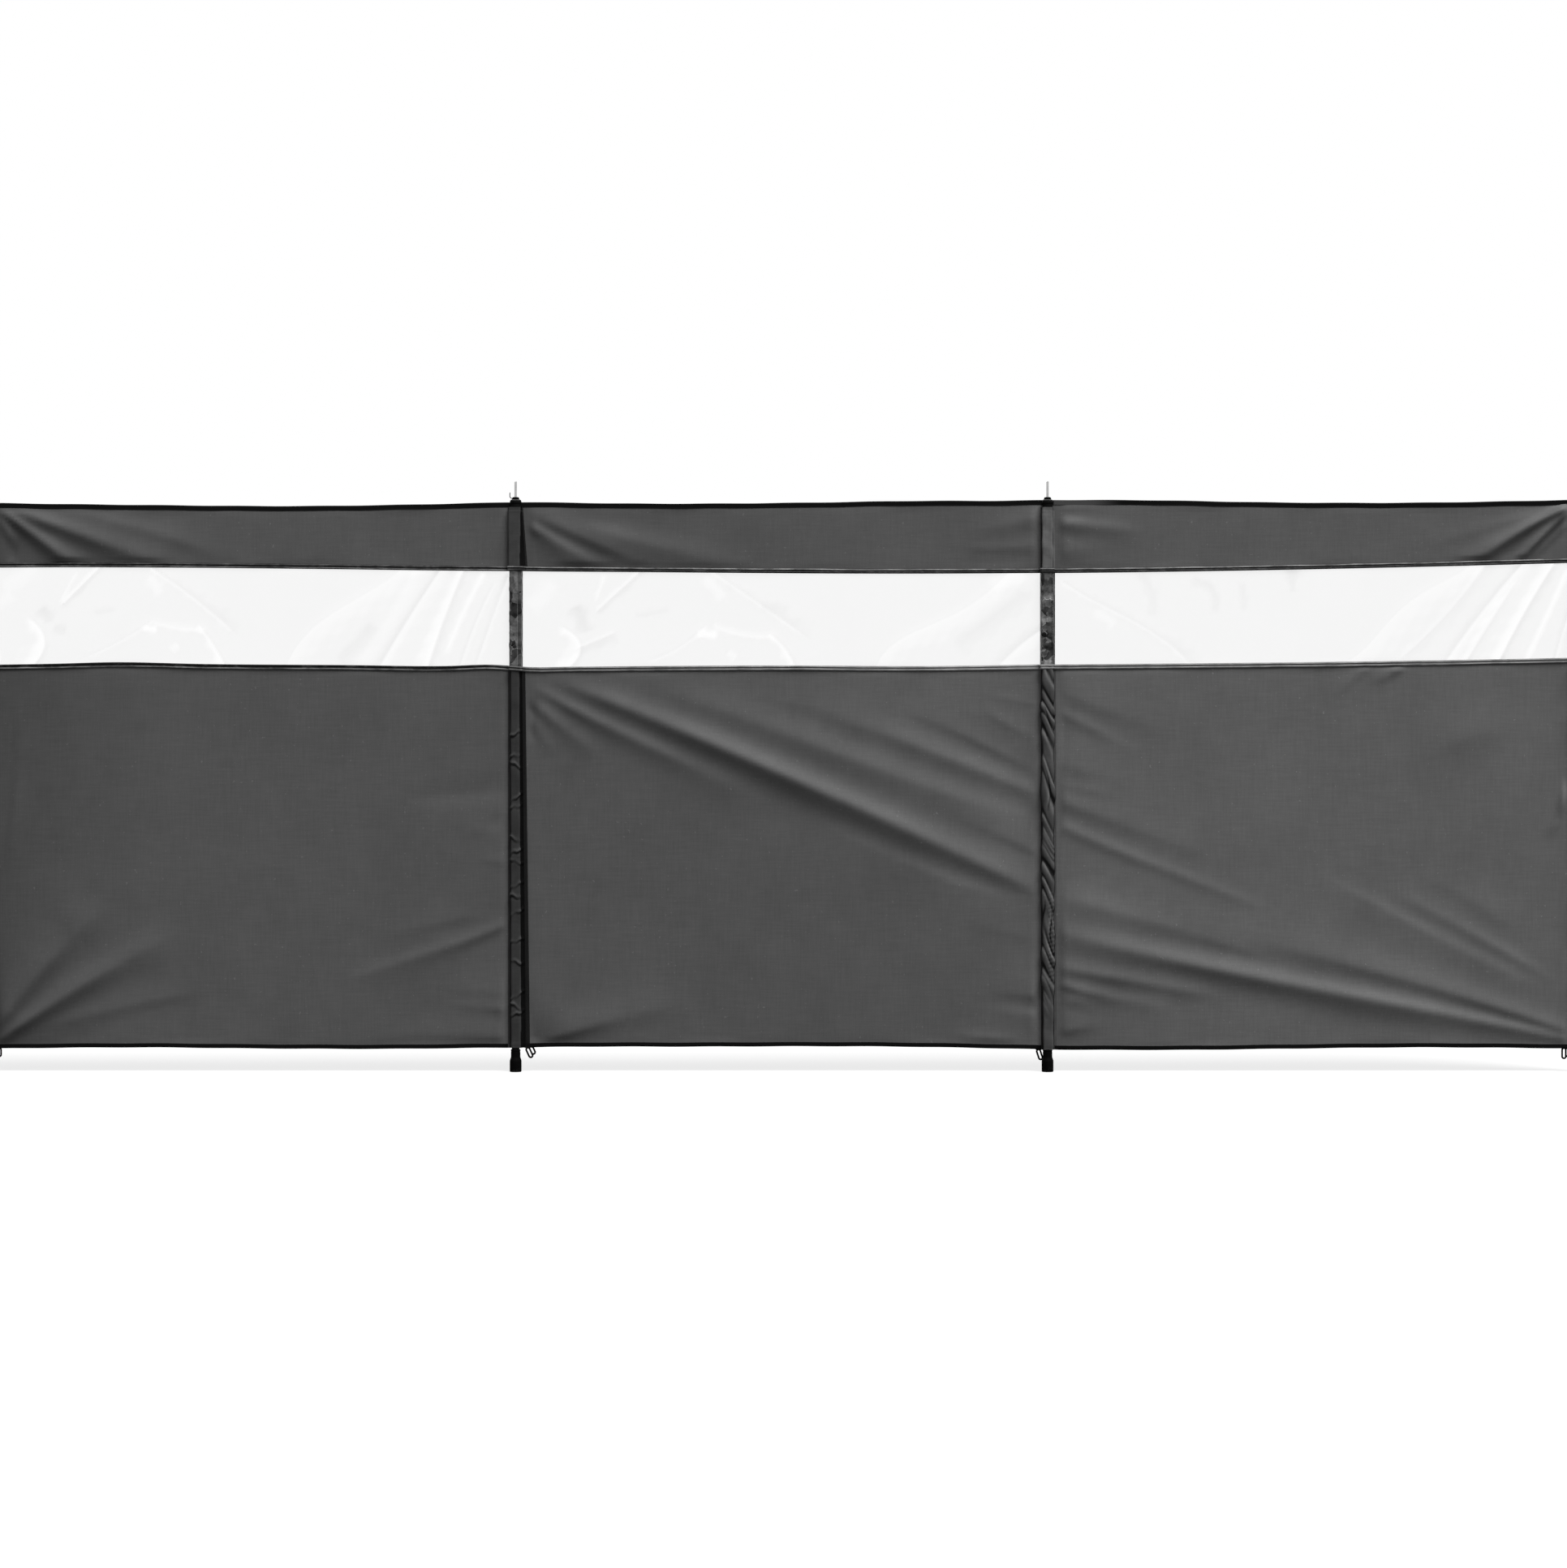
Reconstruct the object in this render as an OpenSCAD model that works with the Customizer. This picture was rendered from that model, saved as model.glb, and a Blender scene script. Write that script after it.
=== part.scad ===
// Beach windbreak: three bays of dark grey cloth with a clear window strip,
// carried by four steel poles in sleeves sewn on the front of the cloth.
// X runs to the right along the windbreak, Y away from the viewer, Z up.
// The origin is the centre of the underside of the left end post's foot.

/* [Windbreak] */
// Distance between neighbouring posts
bay_w = 1366; // [900:1:1800]
// Height of the cloth at a post, from its bottom edge to its top edge
cloth_h = 1400; // [1200:5:1700]
// Height of the cloth's bottom edge above the ground at a post
ground_gap = 60; // [60:1:100]
// Thickness of the cloth
cloth_t = 1.2; // [0.8:0.1:2]
// How far the top edge hangs down in the middle of a bay
top_sag = 5; // [0:0.5:20]
// How far the bottom edge is drawn up in the middle of a bay
bottom_rise = 3; // [0:0.5:10]

/* [Window] */
// Height of the cloth band above the window, to the middle of the seam
top_band_h = 171; // [100:1:300]
// Height of the window strip between the middles of its two seams
window_h = 256; // [150:1:400]
// Thickness of the clear film
film_t = 0.6; // [0.4:0.1:1]
// How far each seam hangs down in the middle of a bay
seam_sag = 3; // [0:0.5:15]
// How far the upper seam is pulled up at the left end post
upper_pull_left = 10; // [0:1:30]
// How far the upper seam is pulled up at the right end post
upper_pull_right = 24; // [0:1:30]
// How far the lower seam is pulled up at the left end post
lower_pull_left = 4; // [0:1:30]
// How far the lower seam is pulled up at the right end post
lower_pull_right = 17; // [0:1:30]

/* [Sleeves] */
// Inner width of a sleeve
sleeve_w = 27.6; // [24:0.2:34]
// Radius of the sleeve's front corners, inside
sleeve_r = 5; // [3:0.5:8]
// Thickness of the sleeve's cloth
sleeve_t = 0.8; // [0.6:0.1:1]
// Width of the sewn edge left of the sleeve
left_edge_w = 6; // [4:0.5:10]
// Width of the sewn edge right of the sleeve
right_edge_w = 11; // [4:0.5:14]
// Distance from the cloth's top edge down to the sleeve's top
sleeve_drop = 6; // [4:0.5:10]

/* [Tapes and hems] */
// Width of the binding tape on the window's seams
tape_w = 12; // [8:0.5:20]
// Thickness of the tapes and hems
tape_t = 0.6; // [0.4:0.1:1]
// Height of the top hem
top_hem_h = 12; // [10:0.5:20]
// Height of the bottom hem
bottom_hem_h = 7; // [5:0.5:15]

/* [Posts] */
// Outer diameter of a pole
pole_d = 19; // [16:0.5:20]
// Wall of the pole's tube
pole_wall = 1; // [0.8:0.1:1.5]
// Height of the pole's top above the cloth's top edge
pole_over = 6; // [4:0.5:12]
// Diameter of the bare pin on top of a pole
pin_d = 6.4; // [5:0.2:7]
// Length of the bare pin above the eyelet, with its tip
pin_l = 40; // [20:1:60]
// Diameter of the shank in the eyelet
shank_d = 8; // [7.4:0.2:9]
// Length of the plug inside the tube
plug_l = 30; // [15:1:60]

/* [Tabs] */
// Thickness of the webbing
web_t = 1.4; // [1:0.1:2]
// Width of the webbing, front to back
web_w = 14; // [8:0.5:14]
// Length of each leg inside the sleeve
web_leg = 32; // [15:1:60]
// Diameter of the domed grommet at its base
grommet_d = 21; // [18:0.5:24]
// Diameter of the grommet's flat top
grommet_top_d = 11.5; // [10:0.5:14]
// Height of the grommet
grommet_h = 7; // [5:0.5:9]

/* [Feet] */
// Height of a foot
foot_h = 58; // [40:1:58]
// Diameter at the foot's collar
foot_top_d = 24; // [22:0.5:26]
// Diameter at the foot's flared base
foot_base_d = 31; // [28:0.5:40]
// Thickness of the foot's floor under the pole
foot_floor = 4; // [2:0.5:8]

/* [Peg loops] */
// Diameter of the loop's cord
cord_d = 3.5; // [3:0.5:5]
// Clear width inside each half of the double loop
loop_gap = 6; // [5:0.5:10]
// Length of the long half's straight sides
loop_side = 17; // [12:1:24]
// How much shorter the other half is
loop_step = 5; // [2:1:8]
// Width of the patch that holds the loop
patch_w = 22; // [20:1:30]
// Thickness of the patch
patch_t = 1.8; // [1:0.1:3]

/* [Hidden] */

// Number of bays, with a post at each end of a bay
bays = 3;
// Straight pieces that make each curved edge of a bay
edge_steps = 24;
// Facets of the round pieces
round_fn = 64;
// Play between pieces that slide into each other
play = 0.2;
// Gap between the pole and the cloth behind it
pole_gap = 0.3;
// Gap between the pole and the front of its sleeve
front_gap = 0.6;
// How much sharper a tape's inner corner is than the sleeve's corner under it
corner_ease = 0.3;
// Chamfer on the edges of the turned pieces
chamfer = 1;
// Height of the grommet's upright rim, and straight pieces in its dome
grommet_rim = 1.5;
grommet_steps = 8;

// Side faces of the cloth: the front is toward the viewer
cloth_front = pole_d / 2 + pole_gap;
cloth_back = cloth_front + cloth_t;
// Outer half width of a sleeve, and the reach of its sewn edges
sleeve_half = sleeve_w / 2 + sleeve_t;
left_reach = sleeve_half + left_edge_w;
right_reach = sleeve_half + right_edge_w;
sleeve_front = -pole_d / 2 - front_gap;
// The edges of the cloth run level this far on each side of a post
level_half = right_reach + 3;

// Heights of the edges and seams at a post
cloth_top = ground_gap + cloth_h;
upper_seam = cloth_top - top_band_h;
lower_seam = upper_seam - window_h;
sleeve_top_z = cloth_top - sleeve_drop;
pole_top = cloth_top + pole_over;

// Heights of the four long edges at each post, from left to right
top_levels = [for (k = [0:bays]) cloth_top];
bottom_levels = [for (k = [0:bays]) ground_gap];
upper_levels = [upper_seam + upper_pull_left, upper_seam, upper_seam, upper_seam + upper_pull_right];
lower_levels = [lower_seam + lower_pull_left, lower_seam, lower_seam, lower_seam + lower_pull_right];

// Radius of the bends in a peg loop, to the middle of the cord
ring_r = (loop_gap + cord_d) / 2;
cord_fn = 32;
// How far the loops' patches reach below the cloth
patch_drop = 3;
// Place and swing to the right of the peg loop beside each post
loop_x = [32, 30, -23, -32];
loop_swing = [0, 25, 18, 0];

// Turned post top: the collar on the tube and the shoulder under the eyelet
collar_h = 2.5;
shoulder_d = 10.4;
shank_over = 0.6;
arch_r = sleeve_w / 2;
arch_z = cloth_top + 2;
grommet_z = arch_z + sqrt(pow(arch_r - web_t, 2) - pow(grommet_d / 2, 2));
shank_top = grommet_z + grommet_h + shank_over;

function post_x(k) = k * bay_w;

// Left and right ends of a bay's panels: neighbours meet behind the post
function bay_start(k) = k == 0 ? -left_reach : post_x(k);
function bay_end(k) = k == bays - 1 ? post_x(bays) + right_reach : post_x(k + 1);

// Height of an edge between two posts, t from 0 to 1 along its free stretch
function edge_z(levels, sag, k, t) = levels[k] + (levels[k + 1] - levels[k]) * t - 4 * sag * t * (1 - t);

// Points of an edge over the free stretch of bay k, moved up by lift
function free_points(levels, sag, k, lift) = [
    for (i = [0:edge_steps])
        let (t = i / edge_steps)
        [post_x(k) + level_half + t * (bay_w - 2 * level_half), edge_z(levels, sag, k, t) + lift]
];

// Points of an edge across the panels of bay k
function bay_points(levels, sag, k, lift) = concat(
    [[bay_start(k), levels[k] + lift]],
    free_points(levels, sag, k, lift),
    [[bay_end(k), levels[k + 1] + lift]]
);

// Points of an edge along the whole windbreak
function long_points(levels, sag, lift) = concat(
    [[bay_start(0), levels[0] + lift]],
    [for (k = [0:bays - 1]) each free_points(levels, sag, k, lift)],
    [[bay_end(bays - 1), levels[bays] + lift]]
);

function backward(points) = [for (i = [len(points) - 1:-1:0]) points[i]];

// An upright sheet: its outline in X and Z, its front face at y
module upright(y, thickness) {
    translate([0, y + thickness, 0])
        rotate([90, 0, 0])
            linear_extrude(thickness)
                children();
}

// The area between a lower and an upper row of points
module band(lower, upper) {
    polygon(concat(lower, backward(upper)));
}

// A strip along the whole windbreak between two heights from an edge
module long_strip(levels, sag, low, high) {
    band(long_points(levels, sag, low), long_points(levels, sag, high));
}

// A box across the sewn edges of every sleeve, in front of the cloth
module sleeve_gaps(low, high) {
    for (k = [0:bays])
        translate([post_x(k) - left_reach, cloth_front - 2 * tape_t, low])
            cube([left_reach + right_reach, 2 * tape_t, high - low]);
}

// Plan of a sleeve's tunnel: square at the cloth, round at its front corners
module tunnel(half, front, corner) {
    translate([-half, front + corner])
        square([2 * half, cloth_front - front - corner]);
    translate([corner - half, front])
        square([2 * (half - corner), 2 * corner]);
    for (side = [-1, 1])
        translate([side * (half - corner), front + corner])
            circle(r = corner, $fn = round_fn);
}

// Plan of a sleeve with its sewn edges, filled
module sleeve_block(grow, corner) {
    tunnel(sleeve_half + grow, sleeve_front - sleeve_t - grow, corner);
    translate([-left_reach - grow, cloth_front - sleeve_t - grow])
        square([left_reach + right_reach + 2 * grow, sleeve_t + grow]);
}

module sleeve(k, low, high) {
    translate([post_x(k), 0, low])
        linear_extrude(high - low)
            difference() {
                sleeve_block(0, sleeve_r + sleeve_t);
                tunnel(sleeve_w / 2, sleeve_front, sleeve_r);
            }
}

module top_panel(k) {
    color("#4f5052")
        upright(cloth_front, cloth_t)
            band(
                bay_points(upper_levels, seam_sag, k, tape_t / 2),
                bay_points(top_levels, top_sag, k, 0)
            );
}

module window(k) {
    color("#e8eef2", 0.35)
        upright(cloth_front, film_t)
            band(
                bay_points(lower_levels, seam_sag, k, tape_t / 2),
                bay_points(upper_levels, seam_sag, k, -tape_t / 2)
            );
}

module lower_panel(k) {
    color("#4f5052")
        upright(cloth_front, cloth_t)
            band(
                bay_points(bottom_levels, -bottom_rise, k, 0),
                bay_points(lower_levels, seam_sag, k, -tape_t / 2)
            );
}

// Black hem folded over the top edge, cut away for the sleeves
module top_hem() {
    color("#141414") {
        difference() {
            upright(cloth_front - tape_t, tape_t)
                long_strip(top_levels, top_sag, -top_hem_h, tape_t);
            sleeve_gaps(cloth_top - 2 * top_hem_h, sleeve_top_z);
        }
        upright(cloth_front - tape_t, cloth_t + 2 * tape_t)
            long_strip(top_levels, top_sag, 0, tape_t);
        upright(cloth_back, tape_t)
            long_strip(top_levels, top_sag, -top_hem_h, tape_t);
    }
}

// Black hem folded under the bottom edge, cut away for the sleeves
module bottom_hem() {
    color("#141414") {
        difference() {
            upright(cloth_front - tape_t, tape_t)
                long_strip(bottom_levels, -bottom_rise, -tape_t, bottom_hem_h);
            sleeve_gaps(ground_gap, ground_gap + 2 * bottom_hem_h);
        }
        upright(cloth_front - tape_t, cloth_t + 2 * tape_t)
            long_strip(bottom_levels, -bottom_rise, -tape_t, 0);
        upright(cloth_back, tape_t)
            long_strip(bottom_levels, -bottom_rise, -tape_t, bottom_hem_h);
    }
}

// Binding tape that joins cloth and film along a seam, folded in an H over
// both edges; its front passes over the sleeves. cloth_side is 1 where the
// cloth is above the seam and -1 where it is below
module binding(levels, cloth_side) {
    half = tape_w / 2;
    color("#1c1c1d") {
        difference() {
            upright(cloth_front - tape_t, tape_t)
                long_strip(levels, seam_sag, -half, half);
            sleeve_gaps(lower_seam - tape_w, cloth_top);
        }
        for (k = [0:bays])
            translate([post_x(k), 0, levels[k] - half])
                linear_extrude(tape_w)
                    difference() {
                        sleeve_block(tape_t, sleeve_r + sleeve_t + tape_t);
                        sleeve_block(0, sleeve_r + sleeve_t - corner_ease);
                    }
        upright(cloth_front - tape_t, cloth_t + 2 * tape_t)
            long_strip(levels, seam_sag, -tape_t / 2, tape_t / 2);
        upright(cloth_back, tape_t)
            long_strip(levels, seam_sag, -half, half);
        upright(cloth_front + film_t, cloth_t - film_t + tape_t)
            long_strip(levels, seam_sag, min(0, -cloth_side * half), max(0, -cloth_side * half));
    }
}

module window_top_binding() {
    binding(upper_levels, 1);
}

module window_bottom_binding() {
    binding(lower_levels, -1);
}

module sleeve_top(k) {
    color("#333334")
        sleeve(k, upper_levels[k], sleeve_top_z);
}

module sleeve_window(k) {
    color("#5c5c5e")
        sleeve(k, lower_levels[k], upper_levels[k]);
}

module sleeve_low(k) {
    color("#333334")
        sleeve(k, ground_gap, lower_levels[k]);
}

// Steel tube from the floor of its foot to just above the cloth
module pole(k) {
    color("#9a9c9e")
        translate([post_x(k), 0, foot_floor])
            difference() {
                cylinder(d = pole_d, h = pole_top - foot_floor, $fn = round_fn);
                translate([0, 0, -1])
                    cylinder(d = pole_d - 2 * pole_wall, h = pole_top - foot_floor + 2, $fn = round_fn);
            }
}

// Turned post top: plug, collar, shoulder, shank and bare pin on one axis
module spigot(k) {
    plug_r = pole_d / 2 - pole_wall - play;
    pin_r = pin_d / 2;
    tip = shank_top + pin_l;
    color("#c9cbcd")
        translate([post_x(k), 0, 0])
            rotate_extrude($fn = round_fn)
                polygon([
                    [0, pole_top - plug_l],
                    [plug_r - chamfer, pole_top - plug_l],
                    [plug_r, pole_top - plug_l + chamfer],
                    [plug_r, pole_top],
                    [pole_d / 2, pole_top],
                    [pole_d / 2, pole_top + collar_h - chamfer],
                    [pole_d / 2 - chamfer, pole_top + collar_h],
                    [shoulder_d / 2, pole_top + collar_h],
                    [shoulder_d / 2, grommet_z],
                    [shank_d / 2, grommet_z],
                    [shank_d / 2, shank_top],
                    [pin_r, shank_top],
                    [pin_r, tip - chamfer],
                    [pin_r - chamfer, tip],
                    [0, tip]
                ]);
}

// Domed grommet moulded through the top of a tab, its bore still filled
module grommet() {
    rise = grommet_h - grommet_rim;
    spread = (grommet_d - grommet_top_d) / 2;
    dome = [
        for (i = [0:grommet_steps])
            let (a = 90 * i / grommet_steps)
            [grommet_top_d / 2 + spread * cos(a), grommet_rim + rise * sin(a)]
    ];
    translate([0, 0, grommet_z])
        rotate_extrude($fn = round_fn)
            polygon(concat([[0, 0], [grommet_d / 2, 0]], dome, [[0, grommet_h]]));
}

// Webbing tab over the post top, its legs sewn inside the sleeve
module top_tab(k) {
    back = cloth_front - pole_gap;
    leg_bottom = sleeve_top_z - web_leg;
    color("#161616")
        translate([post_x(k), 0, 0])
            difference() {
                union() {
                    upright(back - web_w, web_w)
                        difference() {
                            union() {
                                translate([0, arch_z])
                                    circle(r = arch_r, $fn = round_fn);
                                translate([-arch_r, leg_bottom])
                                    square([2 * arch_r, arch_z - leg_bottom]);
                            }
                            translate([0, arch_z])
                                circle(r = arch_r - web_t, $fn = round_fn);
                            translate([web_t - arch_r, leg_bottom - 1])
                                square([2 * (arch_r - web_t), arch_z - leg_bottom + 1]);
                        }
                    grommet();
                }
                translate([0, 0, grommet_z - 1])
                    cylinder(d = shank_d + 2 * play, h = grommet_h + 2, $fn = round_fn);
            }
}

// Flared foot with a socket for the pole
module foot(k) {
    flare_low = 18;
    flare_high = 36;
    flare_steps = 8;
    top_r = foot_top_d / 2;
    base_r = foot_base_d / 2;
    bore_r = pole_d / 2 + play;
    flare = [
        for (i = [0:flare_steps])
            let (t = i / flare_steps)
            [top_r + (base_r - top_r) * (1 + cos(180 * t)) / 2, flare_low + t * (flare_high - flare_low)]
    ];
    color("#0e0e0e")
        translate([post_x(k), 0, 0])
            rotate_extrude($fn = round_fn)
                polygon(concat(
                    [[0, 0], [base_r - chamfer, 0], [base_r, chamfer]],
                    flare,
                    [
                        [top_r, foot_h - chamfer],
                        [top_r - chamfer, foot_h],
                        [bore_r, foot_h],
                        [bore_r, foot_floor],
                        [0, foot_floor]
                    ]
                ));
}

// Closed ring of round cord that hangs from its top at the origin
module cord_ring(side_l) {
    for (side = [-1, 1])
        translate([side * ring_r, 0, -ring_r - side_l])
            cylinder(d = cord_d, h = side_l, $fn = cord_fn);
    for (end = [0, 1])
        translate([0, 0, -ring_r - end * side_l])
            rotate([90, 0, 0])
                rotate(end * 180)
                    rotate_extrude(angle = 180, $fn = cord_fn)
                        translate([ring_r, 0])
                            circle(d = cord_d, $fn = cord_fn);
}

// Double cord loop on a patch at the back of the bottom hem: its two halves
// lie side by side and share the strand between them
module peg_loop(k) {
    patch_back = cloth_back + tape_t;
    color("#121212")
        translate([post_x(k) + loop_x[k], patch_back, ground_gap]) {
            translate([-patch_w / 2, 0, -patch_drop])
                cube([patch_w, patch_t, patch_drop + bottom_hem_h]);
            translate([0, cord_d / 2, 0])
                rotate([0, -loop_swing[k], 0]) {
                    translate([-ring_r, 0, 0])
                        cord_ring(loop_side);
                    translate([ring_r, 0, 0])
                        cord_ring(loop_side - loop_step);
                }
        }
}

top_panel(0);  // top_panel_1
top_panel(1);  // top_panel_2
top_panel(2);  // top_panel_3
window(0);  // window_1
window(1);  // window_2
window(2);  // window_3
lower_panel(0);  // lower_panel_1
lower_panel(1);  // lower_panel_2
lower_panel(2);  // lower_panel_3
top_hem();
window_top_binding();
window_bottom_binding();
bottom_hem();
sleeve_top(0);  // sleeve_top_1
sleeve_top(1);  // sleeve_top_2
sleeve_top(2);  // sleeve_top_3
sleeve_top(3);  // sleeve_top_4
sleeve_window(0);  // sleeve_window_1
sleeve_window(1);  // sleeve_window_2
sleeve_window(2);  // sleeve_window_3
sleeve_window(3);  // sleeve_window_4
sleeve_low(0);  // sleeve_low_1
sleeve_low(1);  // sleeve_low_2
sleeve_low(2);  // sleeve_low_3
sleeve_low(3);  // sleeve_low_4
pole(0);  // pole_1
pole(1);  // pole_2
pole(2);  // pole_3
pole(3);  // pole_4
spigot(0);  // spigot_1
spigot(1);  // spigot_2
spigot(2);  // spigot_3
spigot(3);  // spigot_4
top_tab(0);  // top_tab_1
top_tab(1);  // top_tab_2
top_tab(2);  // top_tab_3
top_tab(3);  // top_tab_4
foot(0);  // foot_1
foot(1);  // foot_2
foot(2);  // foot_3
foot(3);  // foot_4
peg_loop(0);  // peg_loop_1
peg_loop(1);  // peg_loop_2
peg_loop(2);  // peg_loop_3
peg_loop(3);  // peg_loop_4
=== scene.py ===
"""Beach windbreak: three bays of dark grey cloth with a window strip, on four steel posts in sewn sleeves.

The viewer stands at -Y, in front of the sleeves. Sizes are in metres, and the main ones are read from the
frame. The lists of edges, folds and sleeve plans are in millimetres. A fold's x is taken from its bay's left
post and its z from the ground."""

import math

import bmesh
import bpy
import numpy as np
from mathutils import Matrix, Vector


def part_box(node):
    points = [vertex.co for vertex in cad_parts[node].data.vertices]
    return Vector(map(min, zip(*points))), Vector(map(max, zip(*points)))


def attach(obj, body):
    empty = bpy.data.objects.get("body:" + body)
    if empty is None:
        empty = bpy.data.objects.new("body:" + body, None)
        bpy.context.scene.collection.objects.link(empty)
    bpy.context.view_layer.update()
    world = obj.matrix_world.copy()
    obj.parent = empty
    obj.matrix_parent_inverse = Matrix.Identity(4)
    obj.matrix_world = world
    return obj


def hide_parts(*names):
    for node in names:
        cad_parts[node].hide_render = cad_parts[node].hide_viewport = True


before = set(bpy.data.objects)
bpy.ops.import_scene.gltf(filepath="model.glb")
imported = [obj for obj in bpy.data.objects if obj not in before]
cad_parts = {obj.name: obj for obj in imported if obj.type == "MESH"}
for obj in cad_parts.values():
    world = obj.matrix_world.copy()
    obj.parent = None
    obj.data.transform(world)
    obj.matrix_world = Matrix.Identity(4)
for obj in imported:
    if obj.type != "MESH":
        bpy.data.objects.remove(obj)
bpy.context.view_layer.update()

# Places and sizes read from the frame


def low(node):
    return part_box(node)[0]


def high(node):
    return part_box(node)[1]


BAYS = (1, 2, 3)
POSTS = (1, 2, 3, 4)
MM = 0.001
POST_X = [(low(f"pole_{k}")[0] + high(f"pole_{k}")[0]) / 2 for k in POSTS]
BAY = POST_X[1] - POST_X[0]
POLE_TOP = high("pole_2")[2]
POLE_R = (high("pole_2")[0] - low("pole_2")[0]) / 2
CLOTH_Y = low("top_panel_1")[1]
CLOTH_T = high("top_panel_1")[1] - CLOTH_Y
FILM_T = high("window_1")[1] - CLOTH_Y
LEFT_END = low("top_panel_1")[0]
RIGHT_END = high("top_panel_3")[0]
LEFT_REACH = POST_X[0] - LEFT_END
RIGHT_REACH = RIGHT_END - POST_X[3]
SLEEVE_FRONT = low("sleeve_low_2")[1]
SLEEVE_TOP = high("sleeve_top_2")[2]

# How the long edges hang between posts: level across each post, with a slack curve over each bay. On top of
# that they wander by the heights in millimetres given at places along the windbreak.
LEVEL_HALF = RIGHT_REACH + 0.003
TOP_SAG = 0.005
SEAM_SAG = 0.003
BOTTOM_RISE = 0.003
TOP_WANDER = [
    (0, 1), (430, 0), (800, -2), (1190, 1), (1366, 3), (1700, 3), (2126, 7), (2376, 10), (2650, 8),
    (2981, 11), (3357, 7), (3650, 6), (4098, 9),
]
UPPER_WANDER = [
    (0, 2), (185, 6), (436, 8.5), (900, 8), (1187, 5), (1366, 3.5), (1750, 3), (2000, 1.5), (2250, 0),
    (4098, 0.5),
]
LOWER_WANDER = [
    (0, 2), (185, 7), (330, 12), (560, 9), (930, 7), (1187, 4), (1312, 6.5), (1350, 4), (1400, 0.5),
    (1500, 2), (1700, 5), (2060, 7.5), (2420, 5), (2732, 7), (3600, 7.5), (4098, 7),
]
BOTTOM_WANDER = [
    (0, 0), (436, 0), (700, -3), (1060, -3), (1290, 1), (1440, 3), (1800, 2), (2376, 2), (2627, -1),
    (2856, -4.5), (3106, -6), (3357, -3.5), (3650, 0), (4098, 0),
]
TOP_EDGE = ([high("top_panel_1")[2]] * 4, TOP_SAG, TOP_WANDER)
UPPER_EDGE = ([high(f"sleeve_window_{k}")[2] for k in POSTS], SEAM_SAG, UPPER_WANDER)
LOWER_EDGE = ([low(f"sleeve_window_{k}")[2] for k in POSTS], SEAM_SAG, LOWER_WANDER)
BOTTOM_EDGE = ([low("lower_panel_1")[2]] * 4, -BOTTOM_RISE, BOTTOM_WANDER)

# Thickness and width of the trim
SLEEVE_T = 0.0008
TAPE_W = 0.0125
TAPE_T = 0.0006
BEAD = 0.0022
TOP_HEM = 0.012
LOW_HEM = 0.010
HOOD_T = 0.0014

# Size of the mesh's cells
CLOTH_CELL = 0.0078
FILM_CELL = 0.0042
SLEEVE_CELL = 0.0034
TRIM_CELL = 0.0085

# Points closer together than this are one
SAME_PLACE = 1e-6

# Shapes


def smooth(t):
    """0 below 0, 1 above 1 and an even curve between."""
    t = np.clip(t, 0, 1)
    return t * t * (3 - 2 * t)


def lengths(points):
    """Length along a line up to each of its points."""
    return np.append(0, np.cumsum(np.linalg.norm(np.diff(points, axis=0), axis=1)))


def wander(points, x):
    """Height added along an edge, on a soft curve through its points."""
    at, height = np.array(points, float).T * MM
    slope = np.gradient(height, at)
    i = np.clip(np.searchsorted(at, x) - 1, 0, len(at) - 2)
    width = at[i + 1] - at[i]
    t = np.clip((x - at[i]) / width, 0, 1)
    lean = width * (slope[i] * t * (1 - t) ** 2 - slope[i + 1] * t * t * (1 - t))
    return height[i] + (height[i + 1] - height[i]) * smooth(t) + lean


def edge_height(edge, x):
    """Height of a long edge at x."""
    levels, sag, points = edge
    x = np.atleast_1d(x)
    knots = [POST_X[k] + side * LEVEL_HALF for k in range(4) for side in (-1, 1)]
    z = np.interp(x, knots, np.repeat(levels, 2))
    bay = np.clip(np.floor((x - POST_X[0]) / BAY), 0, 2)
    t = np.clip((x - POST_X[0] - bay * BAY - LEVEL_HALF) / (BAY - 2 * LEVEL_HALF), 0, 1)
    return z - 4 * sag * t * (1 - t) + wander(points, x)


def height_at(edge, x):
    return float(edge_height(edge, x)[0])


# A fold's path is followed in steps. The powers say how sharp its crest and the edge of its painted light
# are.
FOLD_STEPS = 16
FOLD_CREST = 1.6
LIT_EDGE = 2.5
CREST_BLUR = 0.006
RAGGED = 0.25


def eased(share, values):
    """Value at a share of a run, easing from each of its evenly spaced values to the next."""
    values = np.atleast_1d(np.array(values, float))
    at = np.clip(share, 0, 1) * (len(values) - 1)
    i = np.clip(at.astype(int), 0, max(len(values) - 2, 0))
    following = np.minimum(i + 1, len(values) - 1)
    return values[i] + (values[following] - values[i]) * smooth(at - i)


def fold(path, rise, above, below, painted_light=0):
    """A ridge along path that stands toward the viewer, or a valley where its rise is negative.

    All are in millimetres. rise is its height at even steps from start to end; above and below
    are the widths of its two flanks, one number or several from start to end; and painted_light says
    how the film is painted on the flanks, from 1, thinned as painted light, to -1, clouded as painted
    shade, as one number or one for each flank."""
    points = np.array(path, float) * MM
    run = lengths(points)
    steps = np.linspace(0, run[-1], FOLD_STEPS + 1)
    line = [np.polyval(np.polyfit(run, p, len(path) - 1), steps) for p in points.T]
    return {"line": line, "rise": rise, "above": above, "below": below, "painted_light": painted_light}


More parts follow.
